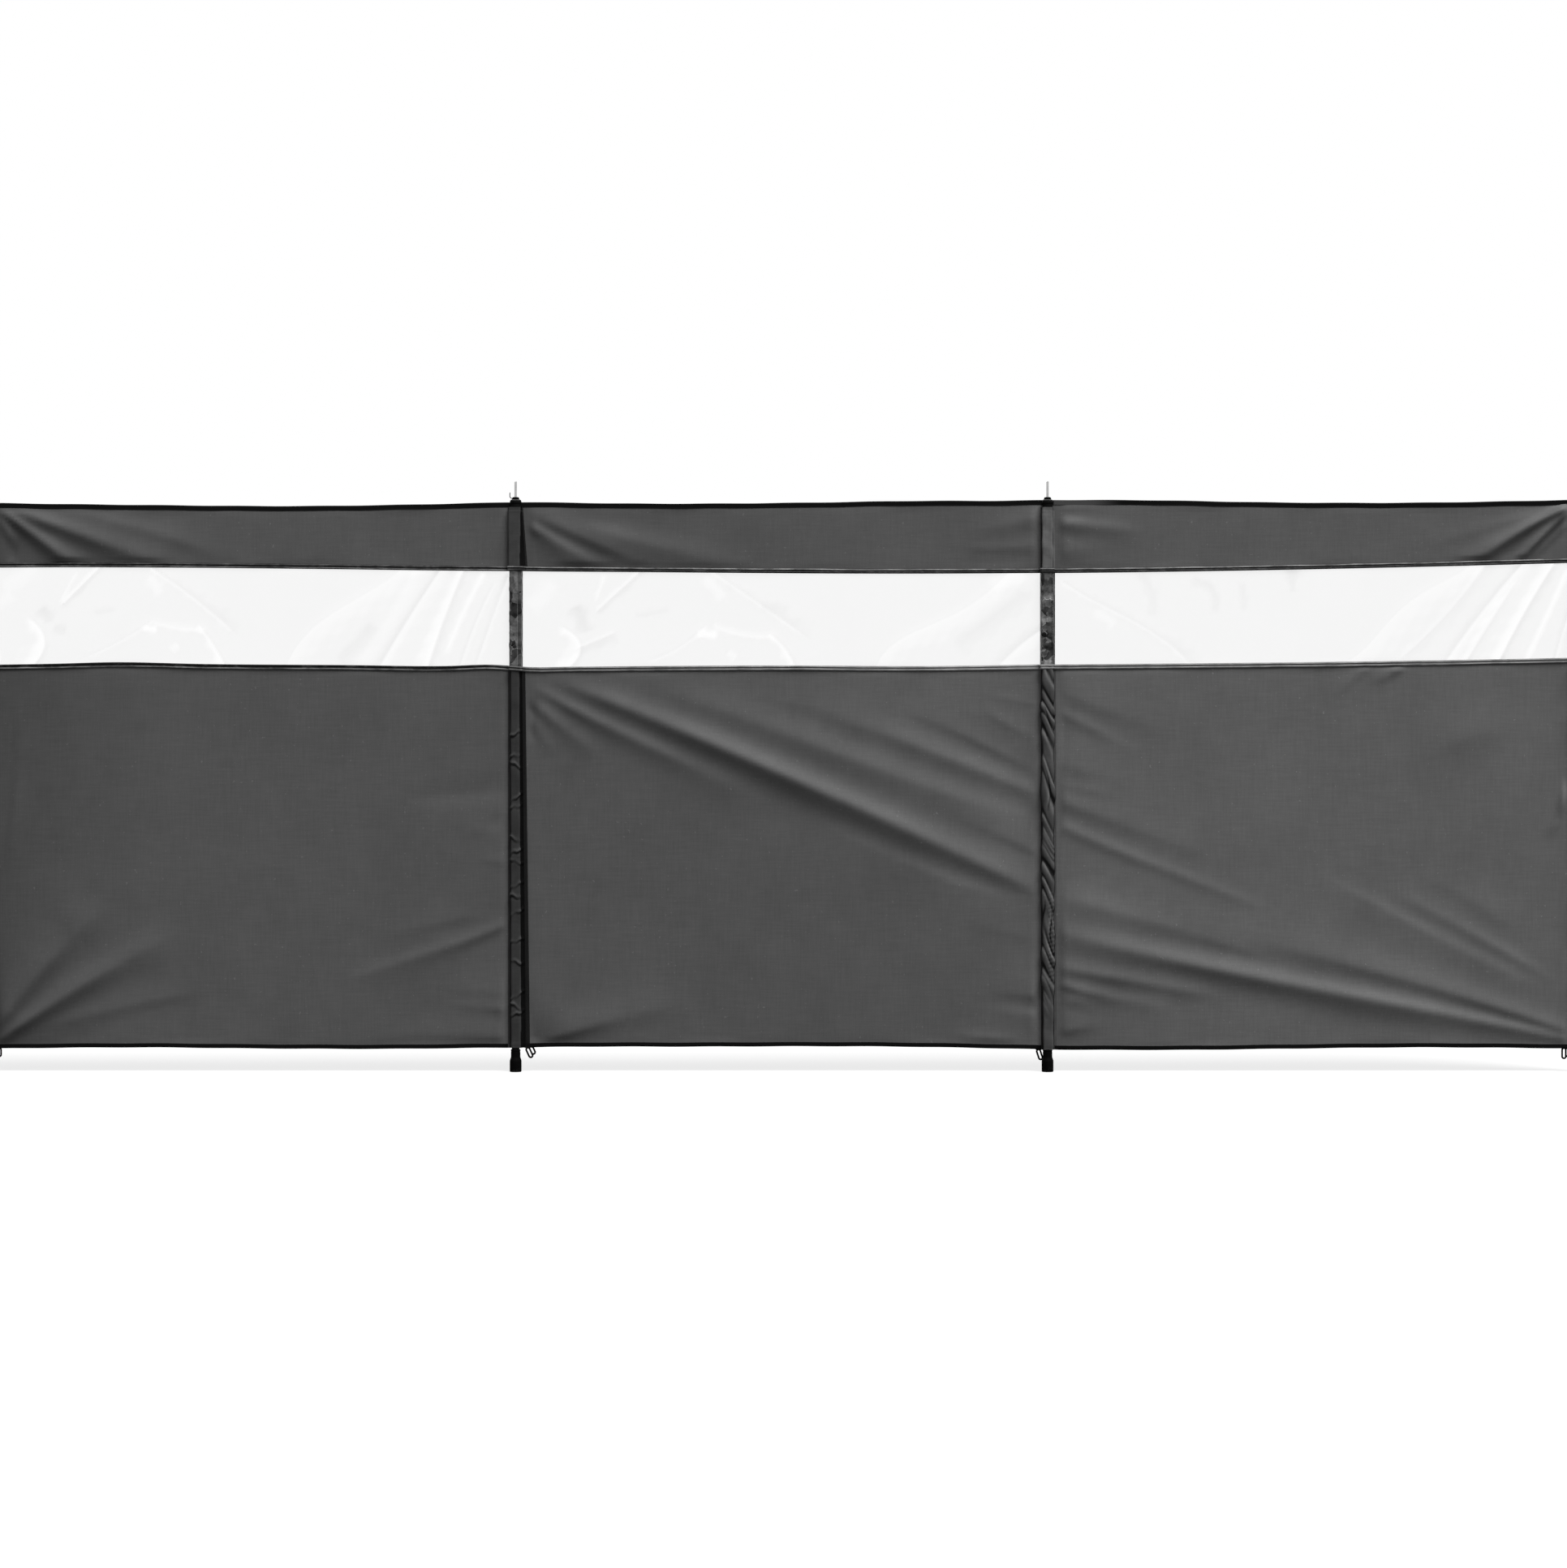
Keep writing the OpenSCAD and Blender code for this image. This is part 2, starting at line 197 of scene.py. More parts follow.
def fold_reach(f, x, z):
    """At the points x, z: the share of the way along a fold, and how far above its crest."""
    px, pz = f["line"]
    nearest = np.full(x.shape, np.inf)
    side = np.zeros(x.shape)
    along = np.zeros(x.shape)
    for i in range(FOLD_STEPS):
        dx, dz = px[i + 1] - px[i], pz[i + 1] - pz[i]
        t = np.clip(((x - px[i]) * dx + (z - pz[i]) * dz) / (dx * dx + dz * dz), 0, 1)
        gap_x, gap_z = x - px[i] - t * dx, z - pz[i] - t * dz
        gap = np.hypot(gap_x, gap_z)
        closer = gap < nearest
        nearest = np.where(closer, gap, nearest)
        side = np.where(closer, dx * gap_z - dz * gap_x, side)
        along = np.where(closer, (i + t) / FOLD_STEPS, along)
    return along, np.sign(side) * nearest


def widths_off(f, along, off):
    """How many widths of its flank a point is off a fold's crest."""
    return np.abs(off) / np.where(off > 0, eased(along, f["above"]), eased(along, f["below"])) / MM


def fold_rise(f, x, z):
    """How far a fold lifts the cloth at the points x, z."""
    along, off = fold_reach(f, x, z)
    return eased(along, f["rise"]) * MM * np.exp(-(widths_off(f, along, off) ** FOLD_CREST))


def fold_light(f, x, z):
    """Painted light of a fold on the film, which thins it above 0 and clouds it as painted shade below 0; a
    fold that sinks to nothing fades.
    """
    along, off = fold_reach(f, x, z)
    above, below = np.broadcast_to(f["painted_light"], 2)
    painted_light = below + (above - below) * smooth(off / CREST_BLUR + 0.5)
    strength = smooth(2 * np.abs(eased(along, f["rise"])) / max(abs(r) for r in f["rise"]))
    ragged = 1 + RAGGED * np.sin(71 * x + 33 * z) * np.sin(113 * z - 87 * x)
    return painted_light * strength * np.exp(-((widths_off(f, along, off) * ragged) ** LIT_EDGE))


# Folds of the cloth and the film, by bay. Each row is what fold takes: a path, heights, the widths above and
# below it, and in the film its painted light.

LOW_FOLDS = {
    1: [
        # A fan that rises from the lower left corner
        ([(0, 50), (110, 215), (210, 330), (320, 450)], (-8, 16, 16, 8, 0), (10, 60, 90), (20, 30, 45)),
        ([(-20, 35), (210, 195), (370, 290), (520, 370)], (-4, 15, 14, 8, 0), (10, 35, 45), (8, 28, 60)),
        ([(80, 90), (330, 160), (600, 210)], (0, 4, 3, 0), (15, 50), (30, 10)),
        # A crease down the left end
        ([(90, 1000), (85, 770), (50, 470)], (0, 3, 4, 0), (40, 20), (12, 8)),
        # Folds that run into the right post
        ([(900, 220), (1115, 295), (1300, 360), (1365, 390)], (0, 3, 4, 5, 4), (15, 18), (40, 10)),
        ([(955, 320), (1115, 370), (1320, 405)], (0, 1, 2, 0), (25, 35), (25, 8)),
        ([(1140, 215), (1365, 200)], (0, 2, 3), 40, 20),
        ([(1160, 175), (1360, 160)], (0, 2, 5), 20, 15),
        ([(940, 85), (1170, 95), (1355, 90)], (0, 2, 3, 4), 40, 18),
        ([(1250, 550), (1365, 535)], (0, 1, 4), 15, 10),
        ([(1060, 700), (1200, 710), (1365, 730)], (0, -2, -3, -3), (30, 40), (15, 35)),
        ([(1200, 615), (1290, 630), (1320, 645)], (0, 1, -2), 20, 18),
    ],
    2: [
        # The long fold from the upper left corner to the right post, with the smaller ones beneath its start
        ([(55, 1020), (255, 945), (565, 815), (905, 665), (1385, 440)], (0, 12, 19, 20, 18, 11, 2),
         (25, 33, 34, 34), (20, 30, 38, 18)),
        ([(5, 1015), (140, 935), (270, 870), (665, 660)], (0, 8, 7, 5, 0), (15, 22, 48), (10, 26, 55)),
        ([(-20, 995), (80, 915), (235, 795)], (0, 6, 4, 0), (18, 25), (8, 30)),
        ([(-10, 975), (55, 880), (110, 800)], (0, 4, 2, 0), (12, 20), (8, 20)),
        ([(35, 975), (40, 855), (45, 835)], (0, -12, -8, 0), (24, 8), (10, 20)),
        # Broader folds above it
        ([(280, 1005), (670, 875), (1000, 750), (1375, 630)], (0, 7, 11, 9, 1), (45, 40), (37, 70)),
        ([(605, 975), (905, 895), (1120, 810), (1290, 710)], (0, 3, 0, -4, -12), (45, 90), (16, 90)),
        ([(760, 925), (995, 850), (1185, 775), (1345, 710)], (0, 5, 9, 10, 7), (40, 26), (28, 36)),
        ([(930, 955), (1130, 875), (1330, 775)], (0, 2, 3, 1), (45, 15), (16, 12)),
        ([(1110, 670), (1210, 625), (1335, 565)], (0, 2, 3, 3), (50, 90), (20, 10)),
        ([(1190, 940), (1225, 915), (1380, 840)], (0, 2, 1, 3), (18, 18), (10, 8)),
        ([(1175, 975), (1340, 945)], (0, 1, 1), 8, 8),
        # Slack under it, and the pull toward the lower corners
        ([(700, 675), (970, 545), (1340, 415)], (0, 4, 4, 0), (32, 16), 90),
        ([(-20, 55), (280, 140), (480, 185)], (-13, 10, 4, 0), (90, 34), (10, 36)),
        ([(1190, 210), (1400, 190)], (0, 3, 16), 90, 15),
        ([(1185, 165), (1400, 135)], (0, 2, 12), 12, 40),
        ([(1095, 95), (1330, 75)], (0, 3, 0), 15, 8),
        ([(1115, 395), (1335, 345)], (0, 1, 1), 35, 20),
    ],
    3: [
        # The long fold from the left post to the lower right corner, with the one above it
        ([(-35, 370), (350, 280), (825, 185), (1330, 85)], (5, 13, 14, 14, 14, 10, 5), (36, 31, 25, 13),
         (62, 27, 34, 18)),
        ([(435, 360), (725, 290), (1045, 200), (1335, 105)], (0, 8, 9, 9, 5), (90, 43, 22), (57, 27, 10)),
        ([(95, 415), (315, 370), (610, 280)], (0, 7, 6, 0), (90, 90), (50, 15)),
        # Folds that fan out from the left post
        ([(50, 625), (200, 560), (365, 495), (590, 405)], (4, 4, 3, 2, 0), (16, 14), (16, 14)),
        ([(50, 690), (185, 640), (465, 535)], (5, 3, 2, 0), (35, 70), (22, 20)),
        ([(30, 925), (130, 875), (255, 805)], (3, 3, 1, 0), (15, 17), 16),
        ([(0, 995), (160, 930), (325, 870)], (3, 5, 2, 0), (90, 70), (35, 24)),
        ([(-20, 820), (140, 765), (245, 745)], (-13, 5, 2, 0), (90, 26), (32, 36)),
        ([(-15, 745), (205, 705)], (1, 2, 0), 26, 12),
        ([(-40, 465), (150, 415), (390, 360)], (-4, 7, 2, 0), (42, 16), (60, 20)),
        ([(-15, 275), (150, 245), (485, 185)], (5, 8, 5, 0), (24, 26), 20),
        ([(25, 225), (145, 195), (340, 160)], (5, 5, 3, 0), (20, 20), (8, 36)),
        ([(75, 185), (60, 115)], (6, 2, 0), 48, 58),
        ([(-40, 100), (160, 120)], (-4, 6, 0), 38, 16),
        # Soft streaks that run down to the lower right
        ([(675, 515), (885, 405), (1045, 320), (1310, 190)], (0, 3, 5, 5, 0), (12, 26), (80, 60)),
        ([(845, 485), (1055, 375), (1325, 220)], (0, 3, 4, 0), (20, 14), (22, 18)),
        ([(915, 525), (1080, 445), (1255, 325)], (0, 1, 2, 0), (28, 46), (14, 22)),
        # Puckers under the window and at the right edge
        ([(725, 945), (795, 1015), (845, 1060)], (0, 2, 4), 18, 10),
        ([(810, 1000), (900, 1035), (920, 1060)], (0, 3, 11), 26, 10),
        ([(1285, 590), (1315, 655), (1330, 765)], (0, 4, 12, 0), (16, 8), (10, 22)),
        ([(940, 815), (1055, 850), (1240, 935)], (0, 5, 0), 90, 44),
    ],
}
TOP_FOLDS = {
    1: [
        # A fan that falls from the upper left corner
        ([(30, 1420), (65, 1380), (55, 1280)], (5, 6, -4, 0), (12, 12), (12, 8)),
        ([(15, 1460), (85, 1410), (230, 1300)], (0, 13, 14, 9), (8, 28), (8, 20)),
        ([(35, 1455), (190, 1400), (415, 1320)], (0, 13, 13, 7), (12, 46), (14, 30)),
        ([(180, 1440), (500, 1365), (625, 1320)], (0, 4, 4, 1), (12, 35), (30, 20)),
    ],
    2: [
        # A fan that falls from the upper left corner, and folds that level out at the right post
        ([(10, 1445), (110, 1400), (310, 1315)], (0, 7, 8, 3), (25, 45), (12, 18)),
        ([(20, 1425), (95, 1365), (225, 1295)], (2, 8, 8, 3), (12, 22), (15, 50)),
        ([(25, 1415), (45, 1395), (70, 1370)], (0, 4, 0), 10, 8),
        ([(120, 1415), (360, 1350), (580, 1300)], (0, 6, 5, 2), (20, 40), 40),
        ([(1135, 1345), (1245, 1345), (1385, 1355)], (0, 2, 3, 6), (12, 28), (8, 18)),
        ([(1140, 1380), (1385, 1430)], (0, 3, 8), 24, 30),
    ],
    3: [
        # A fan that falls from the upper right corner
        ([(1090, 1305), (1220, 1390), (1340, 1455)], (8, 15, 15, 15), (30, 8), (16, 9)),
        ([(1215, 1315), (1280, 1385), (1345, 1445)], (10, 15, 15, 15), (12, 20), (7, 8)),
        ([(1240, 1310), (1300, 1375), (1350, 1420)], (2, 5, 5), 12, 8),
        ([(950, 1345), (1140, 1400), (1335, 1460)], (0, 2, 4, 0), (30, 10), (16, 30)),
        # Short ones at the left post
        ([(35, 1410), (90, 1405), (270, 1385)], (9, 4, 0), 16, 26),
        ([(20, 1375), (125, 1345), (200, 1370)], (2, 1, 0), 16, 24),
        ([(35, 1335), (130, 1335)], (4, 0), 30, 25),
        ([(50, 1455), (160, 1455)], (5, 0), 10, 10),
    ],
}
FILM_FOLDS = {
    1: [
        # A curl and short kinks at the left end
        ([(240, 1295), (195, 1215)], (0, 1.5, 0.5), 8, 8, (0.5, 0)),
        ([(295, 1295), (205, 1205)], (1, 2, 1), 10, 8, (-0.6, 0.8)),
        ([(98, 1175), (155, 1110), (122, 1040)], (0, 2, 2.5, 2.5, 2), 9, (16, 30), (-0.35, 1)),
        ([(140, 1200), (160, 1165), (170, 1145)], (0, -1.5, 0), 17, 17, -0.7),
        ([(170, 1140), (215, 1130)], (0, -1, 0), 14, 14, -0.5),
        ([(270, 1180), (345, 1190)], (0, 0.5, 0), 8, 8, -0.35),
        ([(40, 1230), (120, 1290)], (0, 1, 0.5), 22, 22, 0.35),
        ([(20, 1060), (40, 1050)], (0, 0.5, 0), 14, 14, 0.8),
        ([(25, 1185), (75, 1235)], (0, 0.5, 0), 16, 16, 0.3),
        # A kinked crease along the middle
        ([(435, 1290), (535, 1220), (630, 1140)], (1, 2, 2, 2, 0.5), (8, 14, 26), 8, (-0.55, 0.7)),
        ([(420, 1285), (455, 1215)], (0, 1, 0), 14, 14, 0.5),
        ([(230, 1055), (345, 1105), (425, 1155)], (0, 1, 1.5, 2), (8, 8), (8, 9), (-0.25, 0.4)),
        ([(400, 1140), (450, 1135)], (0, 1, 0), 10, 8, 1),
        ([(440, 1155), (500, 1142), (558, 1138)], (0.5, 1.5, 1.5), 8, 8, (0.2, 0.8)),
        ([(556, 1141), (590, 1095), (618, 1045)], (2, 2, 1), (8, 8), (8, 18), (-0.35, 0.95)),
        ([(475, 1080), (500, 1100)], (0, 0.5, 0), 11, 11, 0.5),
        # Long steep creases toward the right post
        ([(775, 1040), (845, 1140), (940, 1205), (1075, 1295)], (1, 2.5, 3, 3, 2), (8, 12), (34, 40, 34),
         (0, 0.5)),
        ([(895, 1045), (960, 1105), (1005, 1165)], (0, -2, -2, 0), 12, 26, (-0.45, -0.55)),
        ([(965, 1045), (1050, 1165), (1125, 1295)], (1, 2, 2), 20, 20, 0.35),
        ([(1015, 1040), (1090, 1165), (1175, 1295)], (-2, -2.5, -2), (14, 8), 20, (-0.6, 0.6)),
        ([(1140, 1040), (1175, 1145), (1235, 1295)], (2, 3, 2.5), (26, 18), 14, (0.9, -0.55)),
        ([(1173, 1040), (1220, 1155), (1280, 1275)], (0, 1.5, 1), 8, 8, 0.8),
        ([(1222, 1040), (1257, 1140), (1307, 1250)], (1, 2, 0.5), 8, 8, (-0.4, 0.4)),
        ([(1262, 1040), (1300, 1150), (1345, 1270)], (0.5, 2, 2), 10, 8, (-0.5, 0.45)),
    ],
    2: [
        # A curl and short kinks at the left end
        ([(235, 1285), (210, 1215)], (0, 1.5, 0.5), 8, 8, (0.1, 0.6)),
        ([(325, 1290), (215, 1190)], (1, 2, 1), 11, 8, (-0.6, 0.6)),
        ([(98, 1150), (167, 1090), (135, 1036)], (0, 2, 2.5, 2.5, 2), 9, (16, 30), (-0.35, 1)),
        ([(150, 1205), (165, 1165), (180, 1120)], (0, -1.5, -1.5, 0), 19, 19, -0.8),
        ([(170, 1092), (270, 1135)], (1, 1.5, 0), 8, 20, (0.35, -0.6)),
        ([(290, 1170), (410, 1190)], (0, 0.5, 0), 8, 8, -0.35),
        ([(25, 1175), (110, 1270)], (0, 0.5, 0), 22, 22, 0.35),
        # A kinked crease along the middle
        ([(500, 1290), (615, 1210), (730, 1130)], (1, 2, 2, 2, 0.5), (8, 14, 26), 8, (-0.5, 0.6)),
        ([(475, 1280), (545, 1205)], (0, 1, 0), 14, 14, 0.5),
        ([(320, 1050), (430, 1097), (480, 1138)], (0, 1, 1.5, 2), (8, 8), (8, 9), (-0.25, 0.4)),
        ([(455, 1126), (528, 1120)], (0, 1, 0), 11, 10, 1),
        ([(515, 1147), (578, 1125), (656, 1120)], (0.5, 1.5, 1.5), 8, 8, (0.3, 0.8)),
        ([(656, 1122), (690, 1090), (716, 1045)], (2, 2, 1), (8, 8), (8, 18), (-0.4, 0.95)),
        ([(540, 1080), (570, 1060)], (0, 0.5, 0), 11, 11, 0.5),
        ([(620, 1205), (710, 1180)], (0, -0.5, 0), 16, 16, -0.4),
        # Long steep creases toward the right post
        ([(925, 1040), (1014, 1125), (1128, 1176), (1204, 1225), (1275, 1290)], (1, 2.5, 3, 3, 2), (8, 12),
         (30, 40, 34), (0, 0.5)),
        ([(1110, 1080), (1215, 1150), (1300, 1220)], (0, -2, -2, -1), 20, 24, -0.45),
        ([(1240, 1040), (1290, 1090), (1350, 1135)], (-2, -2.5, -1), 16, 22, (-0.5, 0.5)),
        ([(1200, 1245), (1330, 1290)], (0, 0.5, 0), 24, 24, 0.4),
    ],
    3: [
        # A long crease and short kinks at the left end
        ([(45, 1255), (150, 1195), (253, 1140), (367, 1048)], (1, 2, 2, 2, 0.5), (8, 14, 12, 28), 8,
         (-0.5, 0.55)),
        ([(110, 1190), (185, 1140)], (0, 1, 0), 13, 13, 0.4),
        ([(225, 1290), (266, 1230), (268, 1155)], (0, -1, -1, 0), 14, 14, -0.4),
        ([(350, 1260), (420, 1240), (428, 1160)], (0, -1, -1, 0), 12, 13, -0.5),
        ([(500, 1270), (505, 1170)], (0, -1, 0), 12, 9, -0.4),
        ([(630, 1300), (630, 1240)], (-1.5, -0.5), (24, 8), (24, 8), -0.6),
        # Long steep creases toward the right post
        ([(712, 1044), (832, 1104), (900, 1180), (1000, 1250), (1085, 1298)], (1, 2.5, 3, 3, 2), (8, 12),
         (30, 44, 34), (0, 0.5)),
        ([(885, 1042), (1003, 1150), (1125, 1300)], (0, -2, -2, -1), 16, 22, (0.3, -0.45)),
        ([(1015, 1040), (1097, 1154), (1221, 1304)], (-1.5, -2.5, -2.5), (16, 10), 20, (-0.5, 0.6)),
        ([(1070, 1042), (1154, 1180), (1200, 1250)], (1.5, 2.5, 0.5), 14, 10, (0.7, -0.35)),
        ([(1155, 1042), (1221, 1170), (1302, 1304)], (2, 3, 2.5), (28, 18), 13, (1, -0.7)),
        ([(1225, 1042), (1275, 1150), (1335, 1285)], (0.5, 1.5, 1.5), 8, 8, 0.8),
        ([(1300, 1040), (1325, 1130), (1347, 1195)], (1, 2, 0.5), 8, 8, (-0.5, 0.5)),
    ],
}

# How far from a post the cloth is held flat, and the heights of the waves over all of it
POST_HOLD = 0.022
SWELL = 0.0006
RIPPLE = 0.0005


def cloth_rise(folds, bay, x, z, floor, ceiling, trim, seam_hold):
    """How far the cloth of a bay stands toward the viewer, held flat under its trim and at its posts."""
    x = x - POST_X[bay - 1]
    rise = SWELL * np.sin(9 * x + 5 * z) + RIPPLE * np.sin(21 * x - 13 * z + bay)
    for f in folds:
        rise = rise + fold_rise(f, x, z)
    from_posts = np.minimum(x - RIGHT_REACH, BAY - LEFT_REACH - x)
    from_seams = np.minimum(z - floor - trim[0], ceiling - trim[1] - z)
    return rise * smooth(from_posts / POST_HOLD) * smooth(from_seams / seam_hold)


# Sheets


def sheet_piece(name, cells, place, cut, finish, thickness, node=None, shade=None):
    """A sheet of cells laid by place(u, v), thickened away from the side it faces; node is what it replaces.

    cut is its flat size along u and v. Its UV map Cut keeps that size in metres from one corner,
    and Far from the opposite corner."""
    bm = bmesh.new()
    near = bm.loops.layers.uv.new("Cut")
    far = bm.loops.layers.uv.new("Far")
    bmesh.ops.create_grid(bm, x_segments=cells[0], y_segments=cells[1], size=0.5)
    flat = np.array([v.co[:] for v in bm.verts])
    u, v = flat[:, 0] + 0.5, flat[:, 1] + 0.5
    spots = np.stack(np.broadcast_arrays(*place(u, v)), axis=1)
    if shade:
        shade_layer = bm.verts.layers.float.new("Shade")
        tones = shade(u, v)
    for i, vert in enumerate(bm.verts):
        vert.co = spots[i]
        if shade:
            vert[shade_layer] = float(tones[i])
    bm.verts.index_update()
    for face in bm.faces:
        face.smooth = True
        for corner in face.loops:
            i = corner.vert.index
            corner[near].uv = (u[i] * cut[0], v[i] * cut[1])
            corner[far].uv = ((1 - u[i]) * cut[0], (1 - v[i]) * cut[1])
    for edge in bm.edges:
        edge.smooth = not edge.is_boundary
    piece = mesh_piece(name, bm, finish)
    thicken(piece, thickness)
    if node:
        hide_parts(node)


def thicken(piece, thickness):
    solid = piece.modifiers.new("Thickness", "SOLIDIFY")
    solid.thickness = thickness
    solid.offset = -1


def mesh_object(name, bm, finish):
    """An object of the scene from a finished bmesh."""
    mesh = bpy.data.meshes.new(name)
    bm.to_mesh(mesh)
    bm.free()
    mesh.materials.append(finish)
    made = bpy.data.objects.new(name, mesh)
    bpy.context.scene.collection.objects.link(made)
    return made


def mesh_piece(name, bm, finish):
    """A piece of the windbreak from a finished bmesh, riding on it."""
    piece = mesh_object(name, bm, finish)
    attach(piece, "root")
    return piece


# Finishes


class Number:
    """A number that varies over a surface, with the arithmetic of Python."""

    def __init__(self, nodes, socket):
        self.nodes = nodes
        self.socket = socket

    def __add__(self, other):
        return self.nodes.maths("ADD", self, other)

    __radd__ = __add__

    def __sub__(self, other):
        return self.nodes.maths("SUBTRACT", self, other)

    def __rsub__(self, other):
        return self.nodes.maths("SUBTRACT", other, self)

    def __mul__(self, other):
        return self.nodes.maths("MULTIPLY", self, other)

    __rmul__ = __mul__

    def __truediv__(self, other):
        return self.nodes.maths("DIVIDE", self, other)

    def __pow__(self, other):
        return self.nodes.maths("POWER", self, other)

    def __abs__(self):
        return self.nodes.maths("ABSOLUTE", self)


class Nodes:
    """The nodes of a material or of the world."""

    def __init__(self, owner):
        owner.use_nodes = True
        self.tree = owner.node_tree

    def put(self, socket, value):
        if isinstance(value, Number):
            self.tree.links.new(value.socket, socket)
        else:
            socket.default_value = value

    def node(self, kind, settings=None, inputs=None, output=0):
        """Adds a node: its settings first, then the values or links of its sockets."""
        node = self.tree.nodes.new(kind)
        for key, value in (settings or {}).items():
            setattr(node, key, value)
        for key, value in (inputs or {}).items():
            self.put(node.inputs[key], value)
        return Number(self, node.outputs[output]) if node.outputs else None

    def maths(self, operation, *values):
        return self.node("ShaderNodeMath", {"operation": operation}, dict(enumerate(values)))


class Finish(Nodes):
    """A material: a Principled shader and the nodes that drive it."""

    def __init__(self, name, **constants):
        self.material = bpy.data.materials.new(name)
        super().__init__(self.material)
        self.shader = self.tree.nodes["Principled BSDF"]
        for socket, value in constants.items():
            self.shader.inputs[socket.replace("_", " ")].default_value = value

    def place(self):
        return self.node("ShaderNodeTexCoord", output="Object")

    def map(self, name="Cut"):
        return self.node("ShaderNodeUVMap", {"uv_map": name})

    def shade(self):
        return self.node("ShaderNodeAttribute", {"attribute_name": "Shade"}, output="Fac")

    def axis(self, vector, name):
        return self.node("ShaderNodeSeparateXYZ", {}, {0: vector}, name)

    def axes(self, vector, names):
        return [self.axis(vector, name) for name in names]

    def noise(self, vector, scale, detail=3.0, roughness=0.5, stretch=(1, 1, 1)):
        """Noise from 0 to 1, finer along an axis where stretch is greater."""
        drawn = self.node("ShaderNodeMapping", {}, {"Vector": vector, "Scale": stretch})
        inputs = {"Vector": drawn, "Scale": scale, "Detail": detail, "Roughness": roughness}
        return self.node("ShaderNodeTexNoise", {}, inputs)

    def cells(self, vector, scale):
        """Patches with straight sides, each with its own value from 0 to 1."""
        values = self.node("ShaderNodeTexVoronoi", {}, {"Vector": vector, "Scale": scale}, "Color")
        return self.axis(values, "X")

    def ramp(self, value, *stops):
        """Follows the tones given at places from 0 to 1."""
        node = self.tree.nodes.new("ShaderNodeValToRGB")
        elements = node.color_ramp.elements
        while len(elements) < len(stops):
            elements.new(1)
        for element, (place, tone) in zip(elements, stops):
            element.position = place
            element.color = (tone, tone, tone, 1)
        self.put(node.inputs["Fac"], value)
        return Number(self, node.outputs[0])

    def between(self, value, start, end, low=0.0, high=1.0):
        """Eases from low to high as value goes from start to end."""
        inputs = {"Value": value, "From Min": start, "From Max": end, "To Min": low, "To Max": high}
        return self.node("ShaderNodeMapRange", {"interpolation_type": "SMOOTHSTEP"}, inputs)

    def most(self, *values):
        return self.maths("MAXIMUM", *values)

    def stripes(self, value, pitch, sharpness=1.0):
        """A wave of a length of pitch, from 0 to 1."""
        return (self.maths("SINE", value * (2 * math.pi / pitch)) * 0.5 + 0.5) ** sharpness

    def line(self, value, at, half):
        """1 along a line where value is at, fading to 0 at half away from it."""
        return self.most(1 - abs(value - at) / half, 0.0)

    def grey(self, tone):
        return self.node("ShaderNodeCombineColor", {}, {"Red": tone, "Green": tone, "Blue": tone})

    def drive(self, **values):
        for socket, value in values.items():
            self.put(self.shader.inputs[socket.replace("_", " ")], value)
        return self.material

    def finished(self, tone, rough, height, distance, strength):
        """The material with its colour, roughness and bump."""
        bump = self.node("ShaderNodeBump", {}, {"Height": height, "Distance": distance, "Strength": strength})
        return self.drive(Base_Color=self.grey(tone), Roughness=rough, Normal=bump)


# Places that the finishes follow, in metres
ALONG_MAX = 4.2
BAND_FOOT = 1.25
HOOD_SEAM = 1.4405
DULL_END = 0.48
RIGHT_HALF = (1.9, 2.1)
GREY_HEM = (2.745, 2.752)
GREY_HEM_END = (2.93, 2.83)

# Threads, ribs and stitches, and how far in from the edges the stitches run
THREAD = 0.0009
RIB = 0.0016
STITCH = 0.0032
STITCH_HALF = 0.0006
SLEEVE_STITCH_IN = 0.0030
HEM_STITCH_IN = 0.0020


def weave(f, across, along):
    """Height of a plain weave of threads that run both ways."""
    return f.stripes(across, THREAD) * f.stripes(along, THREAD)


def stitches(f, along, from_edges, at):
    """Rows of stitches that run along, one at a distance from each of the edges."""
    rows = [f.line(from_edge, at, STITCH_HALF) * f.stripes(along, STITCH, 0.5) for from_edge in from_edges]
    return f.most(*rows)


def slubs(f, where):
    """Long thick threads, level and upright, around 0."""
    level, upright = (f.noise(where, 240.0, 2.0, 0.6, way) for way in ((0.07, 1, 1), (1, 1, 0.07)))
    return level + upright - 1


